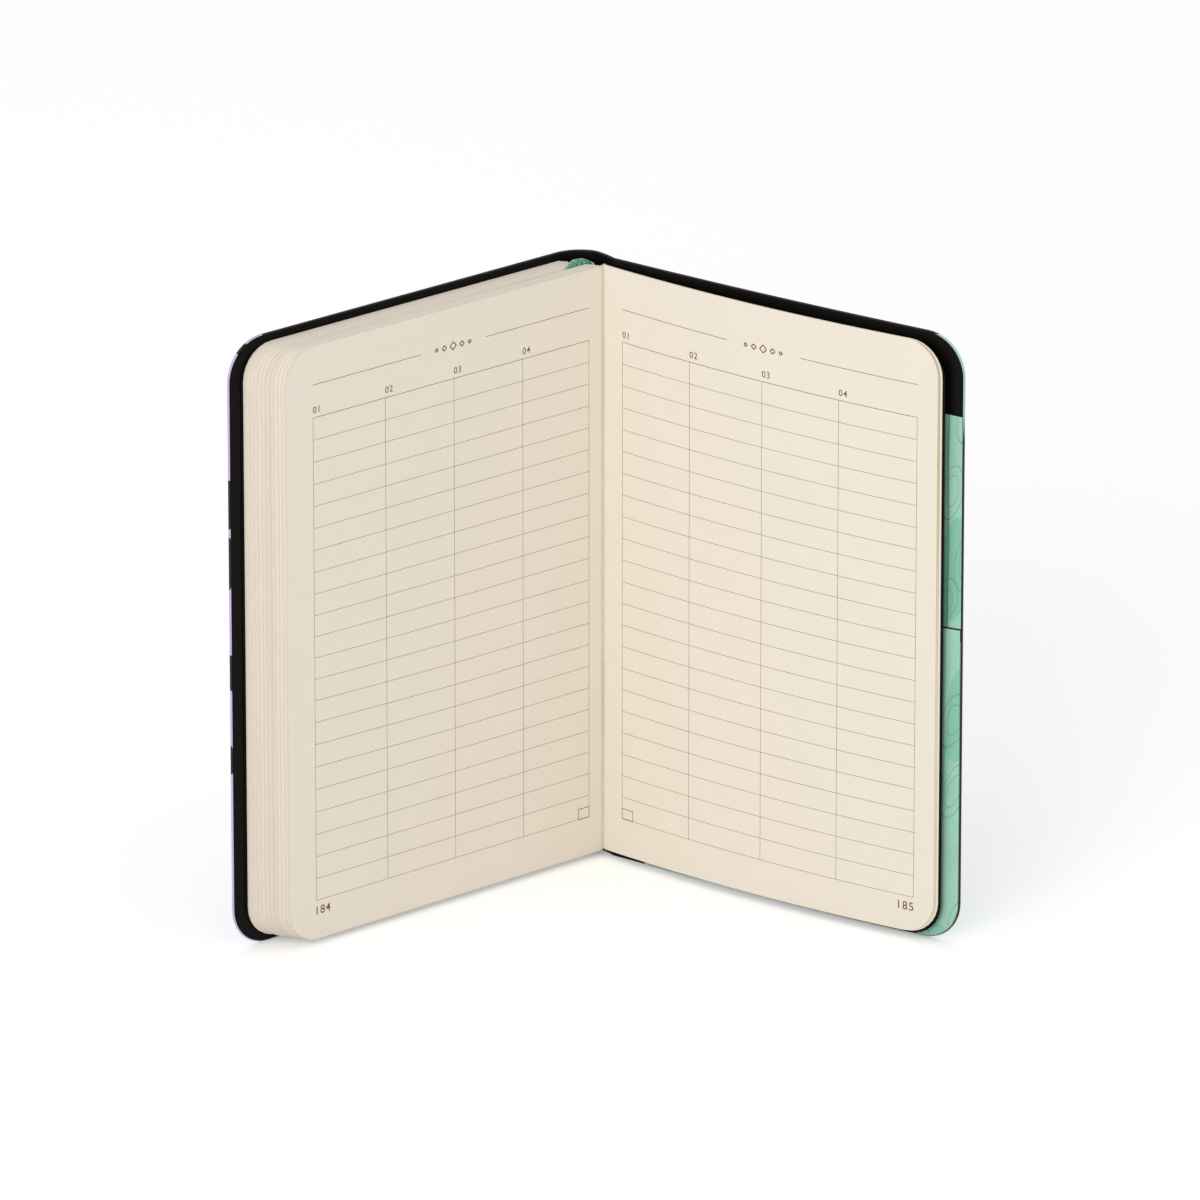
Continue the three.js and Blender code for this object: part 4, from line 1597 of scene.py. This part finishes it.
def smooth_run(values, steps):
    """Catmull-Rom curve through rows of values, with this many steps between two rows."""
    rows = np.vstack([2 * values[0] - values[1], values, 2 * values[-1] - values[-2]])
    out = []
    for k in range(1, len(rows) - 2):
        a, b, c, d = rows[k - 1:k + 3]
        for t in np.arange(steps) / steps:
            out.append(0.5 * (2 * b + (c - a) * t + (2 * a - 5 * b + 4 * c - d) * t**2
                              + (3 * b - a - 3 * c + d) * t**3))
    out.append(rows[-2])
    return np.array(out)


class NOTEBOOK_OT_ribbon(bpy.types.Operator):
    """Add the woven ribbon that comes out of the spine and lies between two sections"""

    bl_idname = "notebook.ribbon"
    bl_label = "Ribbon bookmark"

    # The ribbon's place along the slanted spine and the place of its fold over the head, then the
    # lengths that are glued in the spine and lie between the sections
    width = 6.5
    thickness = 0.22
    place = 6.0
    fold = 5.75
    glued = 26.0
    inside = 150.0

    # Slant of the ribbon where it folds over the head, and of its run below the fold
    fold_slant = 41.5
    run_slant = 45.0

    # Columns across the ribbon, and steps between two places of its run
    columns = 10
    steps = 8

    def execute(self, context):
        """The run is worked out along the page, inwards into the block, and up."""
        sizes, colours = notebook_settings(context)
        left, _, _ = page_courses(sizes)
        along = np.array([FORE_SLANT, BLOCK_THICKNESS, 0.0]) / SLANT_LENGTH
        outwards = np.array([-BLOCK_THICKNESS, FORE_SLANT, 0.0]) / SLANT_LENGTH
        page, inwards, up = np.eye(3)
        out = LINING_OFFSET + LINING_SPACE + 0.05 + self.thickness / 2
        hollow = page * FOLD_START + along * self.place + outwards * out
        slot_middle = (RIBBON_SLOT + SECTION_PITCH - SECTION_THICKNESS) / 2
        slot = page * self.fold + inwards * (section_depth(SECTIONS_BEFORE_RIBBON) - slot_middle)
        drift = page * self.inside * math.cos(math.radians(self.run_slant)) / 4
        below = slot + drift
        top = LEAF_HEAD + 0.35
        glued = along * self.width
        folded = page * self.width / math.sin(math.radians(self.fold_slant))
        flat = page * self.width
        run = (
            (hollow + up * (LEAF_HEAD - self.glued), glued, outwards),
            (hollow + up * (LEAF_HEAD - 12), glued, outwards),
            (hollow + up * (LEAF_HEAD - 0.4), glued, outwards + up * 0.1),
            (hollow + up * (top + 0.65), glued, outwards + up),
            ((hollow + slot) / 2 + up * (top + 1.2), (glued + folded) / 2, up),
            (slot + up * (top + 0.4), folded, up - inwards),
            (slot + up * (LEAF_HEAD - 0.4), folded, up * 0.1 - inwards),
            (slot + drift * 0.3 + up * (LEAF_HEAD - drift[0] * 0.5), folded, -inwards),
            (below + up * (LEAF_HEAD - self.inside / 2), flat, -inwards),
            (below + up * (LEAF_HEAD - self.inside), flat, -inwards),
        )
        rows = np.array([np.concatenate(row) for row in run])
        self.sweep(smooth_run(rows, self.steps), left, colours)
        return {"FINISHED"}

    def sweep(self, run, left, colours):
        """Sweep the ribbon's section along its run, which holds centre, across and through.

        It is thicker in its middle, and its edges hang down where it crosses the head.
        """
        centre, across, through = run[:, :3], run[:, 3:6], run[:, 6:]
        through = through / np.linalg.norm(through, axis=1)[:, None] * self.thickness / 2
        length = np.concatenate([[0.0], np.cumsum(np.linalg.norm(np.diff(centre, axis=0), axis=1))])
        parts = MeshParts()
        sides = []
        for sign in (1, -1):
            grid = []
            for c in range(self.columns + 1):
                u = c / self.columns - 0.5
                bulge = 0.6 + 0.4 * math.cos(math.pi * u)
                spot = centre + across * u + through * sign * bulge
                over = np.clip(spot[:, 2] - LEAF_HEAD - 0.3, 0, None)
                spot[:, 2] -= over * (0.85 * (2 * u) ** 2 + 0.25 * max(0.0, -2 * u))
                numbers = parts.add_points(left.at(spot[:, 0], spot[:, 1]), spot[:, 2], 0.0, 0.0)
                for number, reach in zip(numbers, length):
                    parts.places[number] = (u * self.width, reach, 0.0)
                grid.append(numbers)
            sides.append(grid)
        parts.add_slab(*sides)
        finish = made_once(ribbon_material, "woven_ribbon", colours)
        piece = parts.build("ribbon_weave", finish, sharp=50.0)
        settle(piece, "ribbon_bookmark", "text_block")


# Stage

FLOOR_GLOW = 0.27
WORLD_STRENGTH = 0.72

# The key light's place and the spot that it lights, and its size, all in metres
KEY_PLACE = Vector((-0.6, -1.58, 0.8))
LIT_SPOT = Vector((0.0, 0.0, 0.08))
KEY_SIZE = 1.2
KEY_WATTS = 11.6


class NOTEBOOK_OT_stage(bpy.types.Operator):
    """Add the pale floor, soft light and the camera"""

    bl_idname = "notebook.stage"
    bl_label = "Stage"

    def execute(self, context):
        scene, colours = context.scene, context.scene.notebook_colours
        scene.view_settings.view_transform = "Standard"
        self.add_camera(scene)
        self.add_floor(colours)
        self.add_key_light()
        self.add_world(scene)
        return {"FINISHED"}

    def add_camera(self, scene):
        data = bpy.data.cameras.new("photo_camera")
        data.lens = PIXELS_PER_MM * CAMERA_DISTANCE / PHOTO_WIDTH * SENSOR
        data.sensor_width = SENSOR
        data.clip_end = 50.0
        camera = bpy.data.objects.new("photo_camera", data)
        scene.collection.objects.link(camera)
        tilt = math.radians(CAMERA_ELEVATION)
        back = np.array([0.0, -math.cos(tilt), math.sin(tilt)]) * CAMERA_DISTANCE
        camera.location = Vector((AIM + back) * MM)
        camera.rotation_euler = (math.pi / 2 - tilt, 0.0, 0.0)
        scene.camera = camera

    def add_floor(self, colours):
        """A square that lies just under the notebook, so that nothing cuts into it."""
        reach = 6.0
        corners = [(x * reach, y * reach, 0.0) for x, y in ((-1, -1), (1, -1), (1, 1), (-1, 1))]
        mesh = bpy.data.meshes.new("floor")
        mesh.from_pydata(corners, [], [(0, 1, 2, 3)])
        mesh.materials.append(made_once(floor_material, "pale_floor", colours))
        floor = bpy.data.objects.new("floor", mesh)
        floor.location = (0.0, 0.0, -0.00002)
        bpy.context.collection.objects.link(floor)

    def add_key_light(self):
        lamp = bpy.data.lights.new("key_light", "AREA")
        lamp.shape = "DISK"
        lamp.size = KEY_SIZE
        lamp.energy = KEY_WATTS
        holder = bpy.data.objects.new("key_light", lamp)
        holder.location = KEY_PLACE
        holder.rotation_euler = (LIT_SPOT - KEY_PLACE).to_track_quat("-Z", "Y").to_euler()
        bpy.context.collection.objects.link(holder)

    def add_world(self, scene):
        """Even pale surroundings, which the camera and reflections see as white."""
        world = bpy.data.worlds.new("soft_room")
        world.use_nodes = True
        tree = world.node_tree
        tree.nodes.clear()
        shader = Shader(tree)
        room, bright = (
            shader.node("ShaderNodeBackground", Color=WHITE, Strength=strength).outputs[0]
            for strength in (WORLD_STRENGTH, 1.0))
        mixed = shader.feed(shader.node("ShaderNodeMixShader"), seen_directly(shader), room, bright)
        shader.set(shader.node("ShaderNodeOutputWorld"), "Surface", mixed)
        scene.world = world


class NOTEBOOK_PT_panel(bpy.types.Panel):
    """The notebook's pieces, sizes and colours"""

    bl_idname = "NOTEBOOK_PT_panel"
    bl_label = "Notebook"
    bl_space_type = "VIEW_3D"
    bl_region_type = "UI"
    bl_category = "Notebook"

    def draw(self, context):
        layout = self.layout
        for operator in PIECES:
            layout.operator(operator.bl_idname)
        for group in notebook_settings(context):
            box = layout.box()
            for name in group.__annotations__:
                box.prop(group, name)


PIECES = (
    NOTEBOOK_OT_stage,
    NOTEBOOK_OT_text_block,
    NOTEBOOK_OT_stitches,
    NOTEBOOK_OT_loose_leaves,
    NOTEBOOK_OT_page_print,
    NOTEBOOK_OT_front_cover,
    NOTEBOOK_OT_back_cover,
    NOTEBOOK_OT_spine,
    NOTEBOOK_OT_pocket,
    NOTEBOOK_OT_ribbon,
)
CLASSES = (NotebookSizes, NotebookColours, *PIECES, NOTEBOOK_PT_panel)


def register():
    for cls in CLASSES:
        bpy.utils.register_class(cls)
    bpy.types.Scene.notebook_sizes = PointerProperty(type=NotebookSizes)
    bpy.types.Scene.notebook_colours = PointerProperty(type=NotebookColours)


def unregister():
    del bpy.types.Scene.notebook_colours
    del bpy.types.Scene.notebook_sizes
    for cls in reversed(CLASSES):
        bpy.utils.unregister_class(cls)


def main():
    register()
    bpy.ops.notebook.stage()
    bpy.ops.notebook.text_block()
    bpy.ops.notebook.stitches()
    bpy.ops.notebook.loose_leaves()
    bpy.ops.notebook.page_print()
    bpy.ops.notebook.front_cover()
    bpy.ops.notebook.back_cover()
    bpy.ops.notebook.spine()
    bpy.ops.notebook.pocket()
    bpy.ops.notebook.ribbon()


if __name__ == "__main__":
    main()
